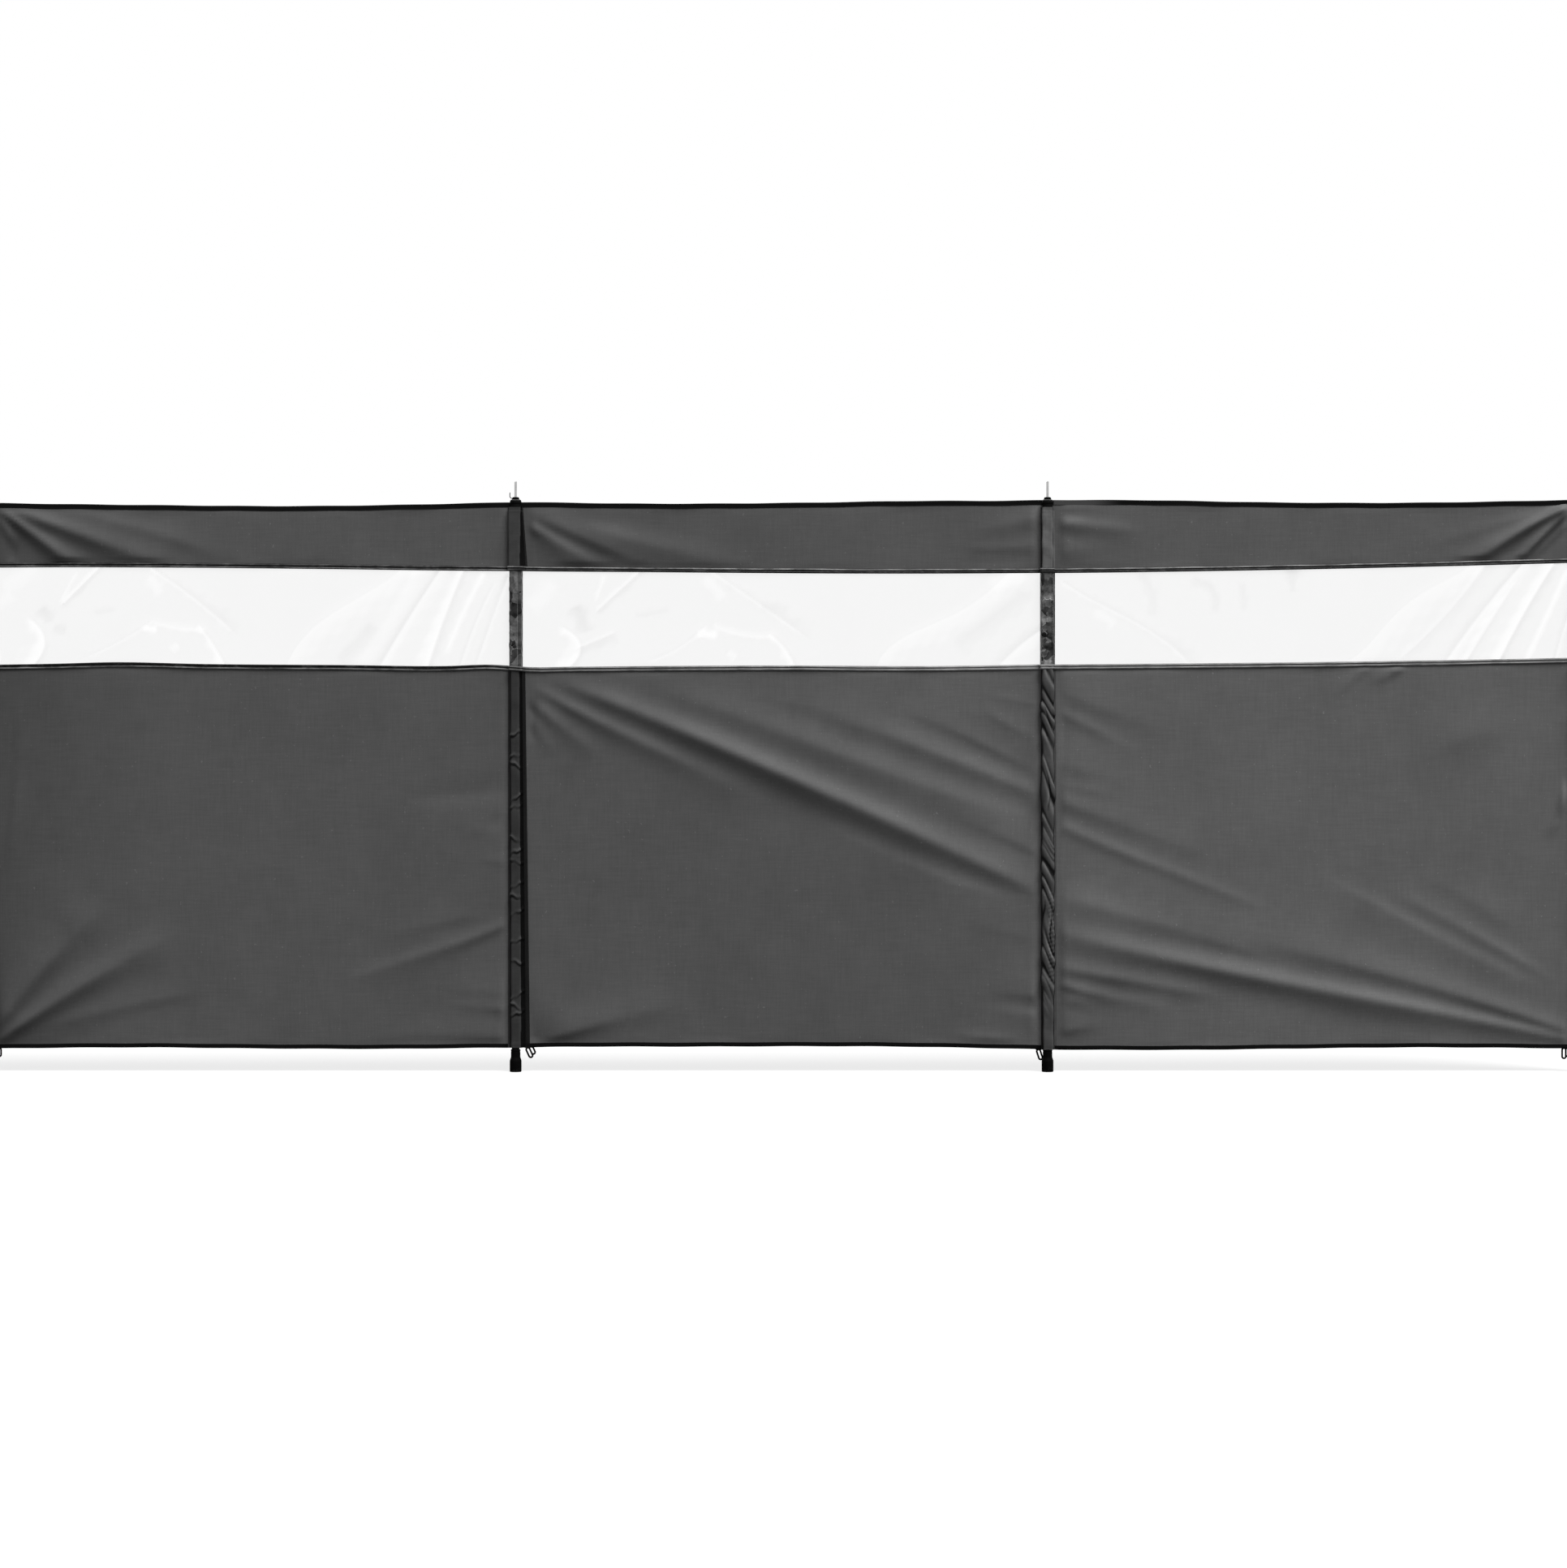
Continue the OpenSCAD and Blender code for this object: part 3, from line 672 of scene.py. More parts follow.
def panel_finish():
    """Dark grey woven polyester: clouded and slubby, darker at the left end, lighter to the high right as
    painted light, with painted shade by the posts and painted light left of them.
    """
    f = Finish("cloth", Specular_IOR_Level=0.25, Sheen_Weight=0.1, Sheen_Roughness=0.5)
    where = f.place()
    x, z = f.axes(where, "XZ")
    cloud = f.noise(where, 5.0)
    patch = f.noise(where, 17.0, 2.0)
    fleck = f.noise(where, 420.0, 2.0)
    lint = f.ramp(f.noise(where, 130.0, 1.0), (0.74, 0.0), (0.78, 1.0))
    threads = slubs(f, where)
    # Darker toward the left end, lighter toward the high right end as painted light, and a tone for each
    # bay's top band
    eased_ramps = f.between(x, 0.0, DULL_END, 0.72, 1.0) * f.between(x + z * 0.9, 2.4, 3.5, 1.0, 1.36)
    band = f.ramp(x / ALONG_MAX, (0.30, 0.82), (0.34, 0.62), (0.64, 0.62), (0.68, 0.68)) * 1.25
    eased_ramps = eased_ramps * (1 + (band - 1) * f.between(z, BAND_FOOT - 0.01, BAND_FOOT + 0.01))
    from_post = f.maths("WRAP", x, BAY / 2, -BAY / 2)
    # Painted light that lifts the shadow each sleeve casts to its left, and painted shade close by the posts
    painted_light_left_of_posts = f.between(from_post, -0.050, -0.020) * f.between(from_post, -0.002, 0.002, 1.0, 0.0)
    painted_shade_by_posts = f.between(from_post, 0.020, 0.050, 0.94, 1.0) + f.between(from_post, 0.0, -0.010, 0.0, 0.06)
    tone = (0.0405 + cloud * 0.020 + patch * 0.010 + fleck * 0.011) * (1 + threads * 0.28) + lint * 0.03
    height = weave(f, x, z) * 0.5 + fleck * 0.4 + threads * 0.6
    return f.finished(tone * eased_ramps * (painted_shade_by_posts + painted_light_left_of_posts * 0.5), 0.52 + fleck * 0.16, height, 0.00028, 0.5)


def sleeve_finish():
    """The sleeves' cloth: darker and shinier than the panels, with painted shade on its sides and in its
    creases, and painted light on its pleats and on the first two posts' left flanges.
    """
    f = Finish("sleeve_cloth", Specular_IOR_Level=0.08)
    where = f.place()
    x, z = f.axes(where, "XZ")
    across, along = f.axes(f.map(), "XY")
    cloud = f.noise(where, 30.0)
    threads = slubs(f, where)
    sewn = stitches(f, along, (across, f.axis(f.map("Far"), "X")), SLEEVE_STITCH_IN)
    on_right = f.between(x, *RIGHT_HALF)
    # Lighter on the third and fourth posts and above the window, and darker above the hood seam
    tone_ramps = (1 + on_right * 0.75) * (1 + f.between(z, 1.27, 1.31) * (0.3 + on_right * 0.75))
    tone_ramps = tone_ramps * f.between(z, HOOD_SEAM - 0.0005, HOOD_SEAM + 0.0015, 1.0, 0.75)
    # The Shade attribute darkens the cloth with painted shade, and where below 0 lifts it with painted light
    tone = (0.019 + cloud * 0.020) * (1 + threads * 0.3) * tone_ramps * f.most(1 - f.shade() * 0.95, 0.06)
    tone = tone + sewn * 0.015 + f.line(z, HOOD_SEAM, 0.0009) * 0.03
    height = weave(f, across, along) * 0.5 + cloud * 0.4 + sewn * 1.5
    return f.finished(tone, 0.38 + cloud * 0.12, height, 0.0003, 0.5)


def window_sleeve_finish():
    """The sleeves' stretch behind the window: coated; its light and dark patches are painted reflections and
    shade, and its fine light creases painted highlights.
    """
    f = Finish("sleeve_window_cloth", Specular_IOR_Level=0.15, Coat_Weight=0.1, Coat_Roughness=0.12)
    where = f.place()
    x, z = f.axes(where, "XZ")
    sway = f.node("ShaderNodeTexNoise", {}, {"Vector": where, "Scale": 40.0}, "Color")
    drift = f.node("ShaderNodeVectorMath", {"operation": "MULTIPLY_ADD"}, {0: sway, 1: [0.02] * 3, 2: where})
    patch, shreds = f.cells(drift, 30.0), f.cells(drift, 75.0)
    border = f.node("ShaderNodeTexVoronoi", {"feature": "DISTANCE_TO_EDGE"}, {"Vector": drift, "Scale": 30.0})
    fine = f.noise(where, 190.0)
    kept = f.ramp(f.noise(where, 26.0, 1.0), (0.52, 0.0), (0.60, 1.0))
    crease = f.most(1 - border / 0.025, 0.0) * kept
    on_right = f.between(x, *RIGHT_HALF)
    # Painted reflections and shade in patches, then the light creases added as painted highlights
    tone = f.ramp(patch, (0.0, 0.003), (0.28, 0.010), (0.40, 0.032), (0.58, 0.070), (0.80, 0.12), (1.0, 0.04))
    tone = tone * (0.4 + fine * 1.2) * (1 + on_right * (shreds - 0.5) * 1.7)
    tone = tone + crease * (0.14 + on_right * 0.10)
    # A painted highlight down the second post's right side, with painted shade on the cloth past it
    past_2 = x - POST_X[1]
    painted_highlight_2 = f.line(past_2, 0.0054, 0.0008) * f.between(z, 1.235, 1.200)
    painted_shade_past_2 = f.between(past_2, 0.0056, 0.0066) * f.between(past_2, 0.05, 0.04)
    # A row of painted highlights on puckers down the third post's right side, with a strip of painted shade
    # next to it
    past_3 = x - POST_X[2]
    painted_pucker_highlights_3 = f.line(past_3 + f.stripes(z, 0.0065) * 0.0018, 0.0150, 0.0009) * f.between(z, 1.110, 1.125)
    painted_shade_strip_3 = f.line(past_3, 0.0138, 0.0060)
    tone = tone * (1 - painted_shade_past_2 * 0.5) * (1 - painted_shade_strip_3 * 0.8) + painted_highlight_2 * 0.10 + painted_pucker_highlights_3 * 0.16
    height = patch * 0.6 + fine * 0.3 + crease * 0.5
    # The Shade attribute adds painted shade on the sides and the third post's dent, and painted light where
    # below 0
    return f.finished(tone * (1 - f.shade()), 0.22 + fine * 0.22, height, 0.0025, 0.7)


# Width of the tapes' painted highlight lines, and where they run across a tape
TAPE_LINE = 0.0023
TAPE_LINES = (0.0022, TAPE_W * 0.78)


def tape_finish(name, body, *lines):
    """Mottled tape with two painted highlight lines where its turned edges would catch the light; its tone
    and the lines' vary along it.
    """
    f = Finish(name, Specular_IOR_Level=0.08)
    where = f.place()
    along, across = f.axes(f.map(), "XY")
    share = f.axis(where, "X") / ALONG_MAX
    sway = (f.noise(where, 5.0, 2.0, 0.5, (1, 0, 0)) - 0.5) * 0.006
    broken = f.between(f.noise(where, 14.0, 3.0, 0.6, (1, 0, 0)), 0.36, 0.60, 0.35, 1.0)
    mottle = f.noise(where, 70.0, 4.0, 0.7, (0.5, 1, 1))
    blotch = f.ramp(mottle, (0.50, 0.0), (0.62, 1.0))
    # The painted highlight lines, each as strong along the tape as its table says
    painted_light = [f.line(across + sway, at, TAPE_LINE) * f.ramp(share, *line) for at, line in zip(TAPE_LINES, lines)]
    light = f.most(*painted_light) * broken
    tone = f.ramp(share, *body) + blotch * 0.03 + light * 0.28
    height = f.stripes(along, RIB) * 0.4 + mottle * 0.8 + light * 0.8
    return f.finished(tone, 0.40 + mottle * 0.2, height, 0.0004, 0.6)


def hem_finish():
    """Near-black hem tape, greyer on a short stretch after the third post, with two rows of stitches."""
    f = Finish("hem", Specular_IOR_Level=0.03)
    where = f.place()
    x, z = f.axes(where, "XZ")
    along, across = f.axes(f.map(), "XY")
    mottle = f.noise(where, 60.0, 3.0, 0.5, (0.3, 1, 1))
    grey_stretch = f.between(x, *GREY_HEM) * f.between(x, *GREY_HEM_END) * f.between(z, 1.0, 1.1)
    edge = f.between(z, 1.465, 1.470, 1.0, 0.2)
    sewn = stitches(f, along, (across, f.axis(f.map("Far"), "Y")), HEM_STITCH_IN)
    tone = 0.0015 + mottle * 0.004 + grey_stretch * edge * 0.048 + sewn * 0.006
    height = f.stripes(along, RIB) * 0.4 + mottle * 0.6 + sewn
    return f.finished(tone, 0.55 + mottle * 0.2, height, 0.0004, 0.6)


def film_finish():
    """Clear soft film: a faint grey haze, thinned as painted light where a crease's side would reflect the
    light and thickened as painted shade on the other side.
    """
    f = Finish("clear_film", Roughness=0.12, Specular_IOR_Level=0.35)
    cloud = f.noise(f.place(), 6.0, 2.0)
    # Alpha of the film's grey haze, thinned by painted light and thickened by painted shade from the Shade
    # attribute
    veil_and_painted_light = f.most(0.088 + (cloud - 0.5) * 0.03 + (0.5 - f.shade()) * 0.17, 0.004)
    return f.drive(Base_Color=f.grey(0.50 + cloud * 0.06), Alpha=veil_and_painted_light)


def steel_finish(name, tone, rough):
    """Drawn or turned steel with fine lines round it and dull spots."""
    f = Finish(name, Metallic=1.0)
    where = f.place()
    lines = f.noise(where, 300.0, 2.0, 0.5, (0.2, 0.2, 6))
    spots = f.noise(where, 90.0)
    return f.finished(tone * (0.75 + spots * 0.5), rough + spots * 0.18, lines, 0.0001, 0.5)


def moulding_finish():
    """Black moulded plastic, scuffed, with a little dust by the ground."""
    f = Finish("foot_plastic", Specular_IOR_Level=0.02)
    where = f.place()
    scuffs = f.noise(where, 130.0, 4.0, 0.65)
    by_ground = f.most(1 - f.axis(where, "Z") * 60.0, 0.0)
    dust = f.ramp(scuffs + by_ground * 0.1, (0.58, 0.0), (0.75, 1.0))
    tone = 0.0012 + dust * 0.02 * by_ground + scuffs * 0.0015
    return f.finished(tone, 0.5 + scuffs * 0.3, scuffs, 0.0006, 0.5)


def webbing_finish():
    """Black ribbed webbing with a painted highlight ring under the grommet."""
    f = Finish("webbing", Specular_IOR_Level=0.03)
    x, z = f.axes(f.place(), "XZ")
    ribs, threads = f.stripes(z, 0.0014), f.stripes(x, 0.0011)
    # A ring of painted highlight under the grommet
    ring = f.line(z, HOOD_HIGHLIGHT, 0.0011)
    tone = 0.0015 + ribs * 0.003 + ring * 0.12
    return f.finished(tone, 0.5 + ribs * 0.2, ribs * 0.7 + threads * 0.3 + ring, 0.0003, 0.7)


def cord_finish():
    """Black elastic cord with a braided cover."""
    f = Finish("loop_cord", Specular_IOR_Level=0.03)
    x, z = f.axes(f.place(), "XZ")
    braid = f.stripes(x + z, 0.0015) * f.stripes(x - z, 0.0015)
    return f.finished(0.0015 + braid * 0.004, 0.5 + braid * 0.2, braid, 0.0003, 0.7)


# Heights of the hood over a post top
HOOD_LOW = 1.446
HOOD_BULGE = 1.4575
HOOD_SHOULDER = POLE_TOP - 0.003
HOOD_TOP = POLE_TOP + 0.0042
# Height of the painted highlight ring
HOOD_HIGHLIGHT = HOOD_TOP - 0.0018

CLOTH = panel_finish()
SLEEVE = sleeve_finish()
WINDOW_SLEEVE = window_sleeve_finish()
# Each tape's tone along the windbreak, then how strong its two painted highlight lines are along it
UPPER_TAPE = tape_finish(
    "upper_tape", ((0, 0.004), (1, 0.010)),
    ((0, 0.8), (0.315, 0.8), (0.33, 0.15), (1, 0.2)), ((0, 0.2), (0.31, 0.25), (0.33, 1), (1, 1)))
LOWER_TAPE = tape_finish(
    "lower_tape", ((0.31, 0.004), (0.34, 0.045), (0.55, 0.10), (0.645, 0.17), (0.66, 0.09)),
    ((0, 1), (1, 1)), ((0, 0), (0.31, 0), (0.33, 0.9), (1, 0.9)))
HEM = hem_finish()
FILM = film_finish()
POLE_STEEL = steel_finish("pole_steel", tone=0.50, rough=0.32)
PIN_STEEL = steel_finish("pin_steel", tone=0.48, rough=0.16)
FOOT = moulding_finish()
WEBBING = webbing_finish()
CORD = cord_finish()

# Cloth and film

CLOTH_HOLD = 0.012
FILM_HOLD = 0.008
BAY_NODES = {"top_cloth": "top_panel", "film": "window", "lower_cloth": "lower_panel"}


def bay_sheet(name, bay, rows, lower, upper, trim):
    """One bay's cloth or film, between a lower and an upper long edge with their trim's widths."""
    film = name == "film"
    finish, slot, cell = (FILM, "clear_film", FILM_CELL) if film else (CLOTH, "cloth", CLOTH_CELL)
    thickness, seam_hold = (FILM_T, FILM_HOLD) if film else (CLOTH_T, CLOTH_HOLD)
    left = LEFT_END if bay == 1 else POST_X[bay - 1]
    right = RIGHT_END if bay == 3 else POST_X[bay]
    middle = (left + right) / 2
    cut = (right - left, height_at(upper, middle) - height_at(lower, middle))
    folds = [fold(*row) for row in rows[bay]]

    def spot(u, v):
        x = left + u * (right - left)
        floor, ceiling = edge_height(lower, x), edge_height(upper, x)
        return x, floor + v * (ceiling - floor), floor, ceiling

    def place(u, v):
        x, z, floor, ceiling = spot(u, v)
        return x, CLOTH_Y - cloth_rise(folds, bay, x, z, floor, ceiling, trim, seam_hold), z

    def shade(u, v):
        """Painted light on the film: 0.5 where it is plain, 1 where painted light thins it and 0 where
        painted shade clouds it.
        """
        x, z, _, _ = spot(u, v)
        return np.clip(0.5 + 0.5 * sum(fold_light(f, x - POST_X[bay - 1], z) for f in folds), 0, 1)

    cells = (round(cut[0] / cell), max(round(cut[1] / cell), 8))
    node = f"{BAY_NODES[name]}_{bay}"
    shown = shade if film else None
    sheet_piece(f"{name}_{bay}", cells, place, cut, finish, thickness, node, shade=shown)


for bay in BAYS:
    bay_sheet("top_cloth", bay, TOP_FOLDS, UPPER_EDGE, TOP_EDGE, (TAPE_W / 2, TOP_HEM))
    bay_sheet("film", bay, FILM_FOLDS, LOWER_EDGE, UPPER_EDGE, (TAPE_W / 2, TAPE_W / 2))
    bay_sheet("lower_cloth", bay, LOW_FOLDS, BOTTOM_EDGE, LOWER_EDGE, (LOW_HEM, TAPE_W / 2))

# Sleeves

# Plan of each stretch of sleeve in millimetres from its post's axis, at its foot and at its top: the left
# edge, the left and right ends of its front, where its right side meets the cloth, and the right edge
SLEEVE_PLANS = {
    1: {"low": ((-20.6, -14.6, 12, 23, 28), (-20.6, -14.6, 12, 19, 25)),
        "window": ((-20.6, -15, 15, 17, 22), (-20.6, -15, 15, 17, 22)),
        "top": ((-20.6, -14.6, 13, 18, 25.6), (-20.6, -14.6, 13, 16, 22))},
    2: {"low": ((-20.6, -11.5, 12.5, 26, 36), (-20.6, -12.5, 9.5, 16, 24)),
        "window": ((-17, -15.5, 15.5, 16.5, 17.5), (-17, -15.5, 15.5, 16.5, 17.5)),
        "top": ((-21, -19, 8, 26, 30), (-21, -19, 13, 15, 18))},
    3: {"low": ((-15.5, -11.5, 14.5, 17.5, 24), (-16, -13, 13, 16, 22)),
        "window": ((-18.5, -17, 15, 17, 20), (-18.5, -17, 15, 17, 20)),
        "top": ((-16.5, -14.6, 13, 16, 20), (-16.5, -14.6, 13, 15, 19))},
    4: {"low": ((-20.6, -13, 14.6, 17, 25.6), (-20.6, -14.6, 14.6, 17, 25.6)),
        "window": ((-18.5, -15, 15, 17, 22), (-18.5, -15, 15, 17, 22)),
        "top": ((-20.6, -14.6, 13, 16, 25.6), (-20.6, -14.6, 13, 15, 22))},
}
SLEEVE_CORNER = 0.0045
SLEEVE_CORNERS = (0, 0.001, SLEEVE_CORNER, SLEEVE_CORNER, 0.0015, 0)
CORNER_ROOM = 0.45
CORNER_STEPS = 8
SLEEVE_COLUMNS = 40
WALL_SLANT = 0.003
FLANGE_Y = CLOTH_Y - SLEEVE_T


def rounded(points, radii, count):
    """count even points along a line through points, its corners rounded to radii, and its length."""
    dense = []
    for i, point in enumerate(points):
        point = np.array(point)
        if not radii[i]:
            dense.append(point)
            continue
        before, after = np.array(points[i - 1]) - point, np.array(points[i + 1]) - point
        room = min(np.linalg.norm(before), np.linalg.norm(after)) * CORNER_ROOM
        radius = min(radii[i], room)
        start = point + before / np.linalg.norm(before) * radius
        end = point + after / np.linalg.norm(after) * radius
        for t in np.linspace(0, 1, CORNER_STEPS + 1):
            dense.append((1 - t) ** 2 * start + 2 * t * (1 - t) * point + t * t * end)
    dense = np.array(dense)
    run = lengths(dense)
    spots = np.linspace(0, run[-1], count)
    return np.interp(spots, run, dense[:, 0]), np.interp(spots, run, dense[:, 1]), run[-1]


def sleeve_plan(post, stretch, share):
    """Plan points of a stretch of sleeve at a share of its height, and the length round it."""
    foot, top = (np.array(row) * MM for row in SLEEVE_PLANS[post][stretch])
    left_edge, left, right, out, right_edge = foot + (top - foot) * share
    slant = min(WALL_SLANT, (left - left_edge) / 2)
    points = [
        (left_edge, FLANGE_Y), (left - slant, FLANGE_Y), (left, SLEEVE_FRONT),
        (right, SLEEVE_FRONT), (out, FLANGE_Y), (right_edge, FLANGE_Y),
    ]
    return rounded(points, SLEEVE_CORNERS, SLEEVE_COLUMNS + 1)


# Wrinkles of a sleeve. s is the distance across it from its post's axis and z the height, both in metres, and
# waves run in radians a metre. Each gives how far the cloth stands out and its painted shade, below 0 where a
# highlight is painted instead.


def ridge(off, sharpness=1):
    """1 on a line, falling off within about 1 to either side of it."""
    return np.exp(-(off ** 2) * sharpness)


# Heights and slopes of the short dents
KINKS = {
    1: [(0.35, 0.3), (0.52, -0.4), (0.71, 0.2), (0.90, -0.3), (1.38, 0.2)],
    2: [(0.866, 0.5), (0.810, 0.1), (0.787, -0.6), (0.701, 0.7), (0.679, 0.2), (0.595, -0.5), (0.564, 0.3),
        (0.539, -0.4), (0.476, 0.5), (0.449, -0.3), (0.407, 0.4), (0.334, 0.3), (0.282, -0.4), (0.192, 0.6),
        (0.168, -0.7), (0.147, 0.3)],
}
KINK_W = 0.0036
KINK_H = 0.0034
KINK_BEND = 0.002


def kinked(post, s, z):
    """Short dents across a smooth sleeve, each a ridge over a hollow, with painted shade in the hollow and a
    painted highlight on the ridge.
    """
    rise = 0.0004 * np.sin(z * 60 + s * 40)
    crease = np.zeros(s.shape)
    for place, slope in KINKS[post]:
        off = (z - place - slope * s - KINK_BEND * np.sin(s * 300 + place * 50)) / KINK_W
        reach = 0.6 + 0.4 * np.sin(s * 130 + place * 90)
        rise = rise + KINK_H * reach * (ridge(off - 0.8) - 0.6 * ridge(off + 0.8))
        # Painted shade in the hollow, less a painted highlight on the ridge above it
        crease = crease + reach * (ridge(off + 0.5, 2) - 0.9 * ridge(off - 0.9, 3))
    return rise, crease


TWIST_PITCH = 0.052
TWIST_SLOPE = 2.4
TWIST_HEIGHT = 0.0042
TWIST_FOOT = 0.12
# How strong the pleats' painted shade and highlights are, where the highlights sit and how wide they and the
# second strand's shade are
PLEAT_DARK = 1.5
PLEAT_LIT = 1.1
LIT_SIDE = 0.20
LIT_W = 0.12
SECOND_W = 0.08
NUB = 0.0008
NUB_HEIGHTS = (0.20, 0.48)


def twisted(post, s, z):
    """Steep pleats that wind down a sleeve like a rope's strands, fading at its ends, with small nubs, and
    their painted shade and highlights.
    """
    turn = (z + TWIST_SLOPE * s) / TWIST_PITCH + 0.45 * np.sin(z * 17 + post) + 0.25 * np.sin(z * 41 + s * 90)
    cross = turn * 0.73 + 0.5 * np.sin(z * 23) + s * 22
    strand, second = (np.abs(np.sin(math.pi * t)) for t in (turn, cross))
    off, off_second = (t - np.round(t) for t in (turn, cross))
    size = 0.65 + 0.35 * np.sin(z * 29 + 2 * post)
    patchy = smooth(0.5 + np.sin(z * 37 + s * 50) * 0.8)
    eased_ramps = smooth((z - TWIST_FOOT) / 0.14) * smooth((UPPER_EDGE[0][post - 1] - z) / 0.02)
    width = 0.11 + 0.05 * np.sin(z * 61 + s * 190)
    # Painted shade in the pleats' creases and painted highlights to one side of them
    painted_pleat_shade = ridge((off - 0.05) / width) * size + 0.8 * ridge(off_second / SECOND_W) * patchy
    painted_light = ridge((off + LIT_SIDE) / LIT_W) * (0.8 + 0.5 * np.sin(z * 83 + s * 160))
    painted_light = painted_light + 0.5 * ridge((off_second + LIT_SIDE) / LIT_W) * patchy
    nubs = np.sin(z * 420 + s * 300) * np.sin(z * 150 - s * 500) * smooth((s + 0.002) / 0.006)
    nubs = nubs * smooth((z - NUB_HEIGHTS[0]) / 0.06) * smooth((NUB_HEIGHTS[1] - z) / 0.06)
    pleats = TWIST_HEIGHT * (strand ** 0.6 * size + 0.4 * second ** 0.7 * patchy) * eased_ramps
    rise = pleats + 0.0008 * np.sin(z * 90 + s * 70) + NUB * nubs
    # The pleats' painted shade less their painted highlights, and painted light and shade on the nubs
    return rise, (PLEAT_DARK * painted_pleat_shade - PLEAT_LIT * painted_light) * eased_ramps - 0.6 * nubs


DENT_Z = 1.088
DENT_DEPTH = 0.002


def crumpled(post, s, z):
    """Soft dents of the shiny stretch behind the window, and a deeper dent low down on the third post, its
    shadow painted in.
    """
    rise = 0.0011 * np.sin(z * 120 + s * 150 + post) * np.sin(z * 47 - s * 220) + 0.0006 * np.sin(z * 230)
    if post != 3:
        return rise, np.zeros(s.shape)
    off = z - DENT_Z + 18 * s * s + 0.2 * s
    # The dent's painted shadow
    return rise - DENT_DEPTH * ridge(off / 0.004), ridge(off / 0.0045)


# Where a sleeve ends and is sewn, and what counts as its flange and its sides
HOOD_SHOWS = 0.0043
POLE_CLEAR = 0.0004
SEWN_LINES = {1: 1.445, 2: 1.441, 3: 1.441, 4: 1.445}
SEWN_FOOT = 0.009
SEWN_H = 0.0007
SEWN_W = 0.0022
FLANGE_EASE = 0.006
ON_FLANGE = 0.0003
OFF_FRONT = 0.003

# Painted shade on the sleeve's parts, below 0 where painted light lifts them, and how far out
# the second post's sleeve is painted darker past its front
SIDE_PAINTED_SHADE = 0.9
FLANGE_PAINTED_SHADE = 0.85
FLANGE_PAINTED_LIGHT = -0.5
DARK_FROM = 0.014


def sleeve_piece(post, stretch, floor, ceiling, wrinkle, finish):
    """A stretch of sleeve between two heights, wrinkled outward from its plan."""
    rows = max(round((ceiling - floor) / SLEEVE_CELL), 8)
    plans = [sleeve_plan(post, stretch, row / rows) for row in range(rows + 1)]
    plan_x, plan_y = (np.array([plan[i] for plan in plans]) for i in (0, 1))
    along_x, along_y = np.gradient(plan_x, axis=1), np.gradient(plan_y, axis=1)
    length = np.hypot(along_x, along_y)

    def wrinkles(u, v):
        row, column = np.rint(v * rows).astype(int), np.rint(u * SLEEVE_COLUMNS).astype(int)
        x, y = plan_x[row, column], plan_y[row, column]
        z = floor + v * (ceiling - floor)
        rise, crease = wrinkle(post, x, z)
        free = smooth((FLANGE_Y - y) / FLANGE_EASE)
        for height in (SEWN_LINES[post], floor + SEWN_FOOT if stretch == "low" else 0):
            rise = rise + SEWN_H * ridge((z - height) / SEWN_W)
        return row, column, x, y, z, np.maximum(rise, -POLE_CLEAR) * free, crease * free

    def place(u, v):
        row, column, x, y, z, rise, _ = wrinkles(u, v)
        out_x, out_y = along_y / length, -along_x / length
        return POST_X[post - 1] + x + out_x[row, column] * rise, y + out_y[row, column] * rise, z

    def shade(u, v):
        """Painted shade: near 1 on the sides of the sleeve, as much as the creases' on its front, and below 0
        where painted light lifts the first two posts' left flanges.
        """
        _, _, x, y, _, _, crease = wrinkles(u, v)
        flange = y >= FLANGE_Y - ON_FLANGE
        side = (y > SLEEVE_FRONT + OFF_FRONT) & ~flange
        dark = np.where(side, SIDE_PAINTED_SHADE, crease)
        # Painted light that lifts the shadow on the left flange of the first two posts, and painted shade
        # there on the last two
        dark = np.where(flange & (x < 0), FLANGE_PAINTED_LIGHT if post < 3 else FLANGE_PAINTED_SHADE, dark)
        # Painted shade down the right side and flange of the second post's sleeve
        if post == 2 and stretch != "window":
            dark = np.where((x > 0) & side, 1.0, dark)
            dark = np.where((x > DARK_FROM) & ~side, FLANGE_PAINTED_SHADE, dark)
        return dark

    name, node = f"{stretch}_sleeve_{post}", f"sleeve_{stretch}_{post}"
    cells, cut = (SLEEVE_COLUMNS, rows), (plans[rows // 2][2], ceiling - floor)
    sheet_piece(name, cells, place, cut, finish, SLEEVE_T, node, shade=shade)


for k in POSTS:
    wrinkle = kinked if k in KINKS else twisted
    bottom, seam_low, seam_high = (height_at(e, POST_X[k - 1]) for e in (BOTTOM_EDGE, LOWER_EDGE, UPPER_EDGE))
    sleeve_piece(k, "low", bottom, seam_low, wrinkle, SLEEVE)
    sleeve_piece(k, "window", seam_low, seam_high, crumpled, WINDOW_SLEEVE)
    sleeve_piece(k, "top", seam_high, SLEEVE_TOP - HOOD_SHOWS, wrinkle, SLEEVE)

# Binding tapes on the window's seams

TAPE_GAP = 0.0006
TAPE_STEP = 0.0025
TAPE_LONG_STEP = 0.02
TAPE_FLAT_RUN = 0.1
TAPE_ROWS = 12
TAPE_EDGE_IN = 0.001


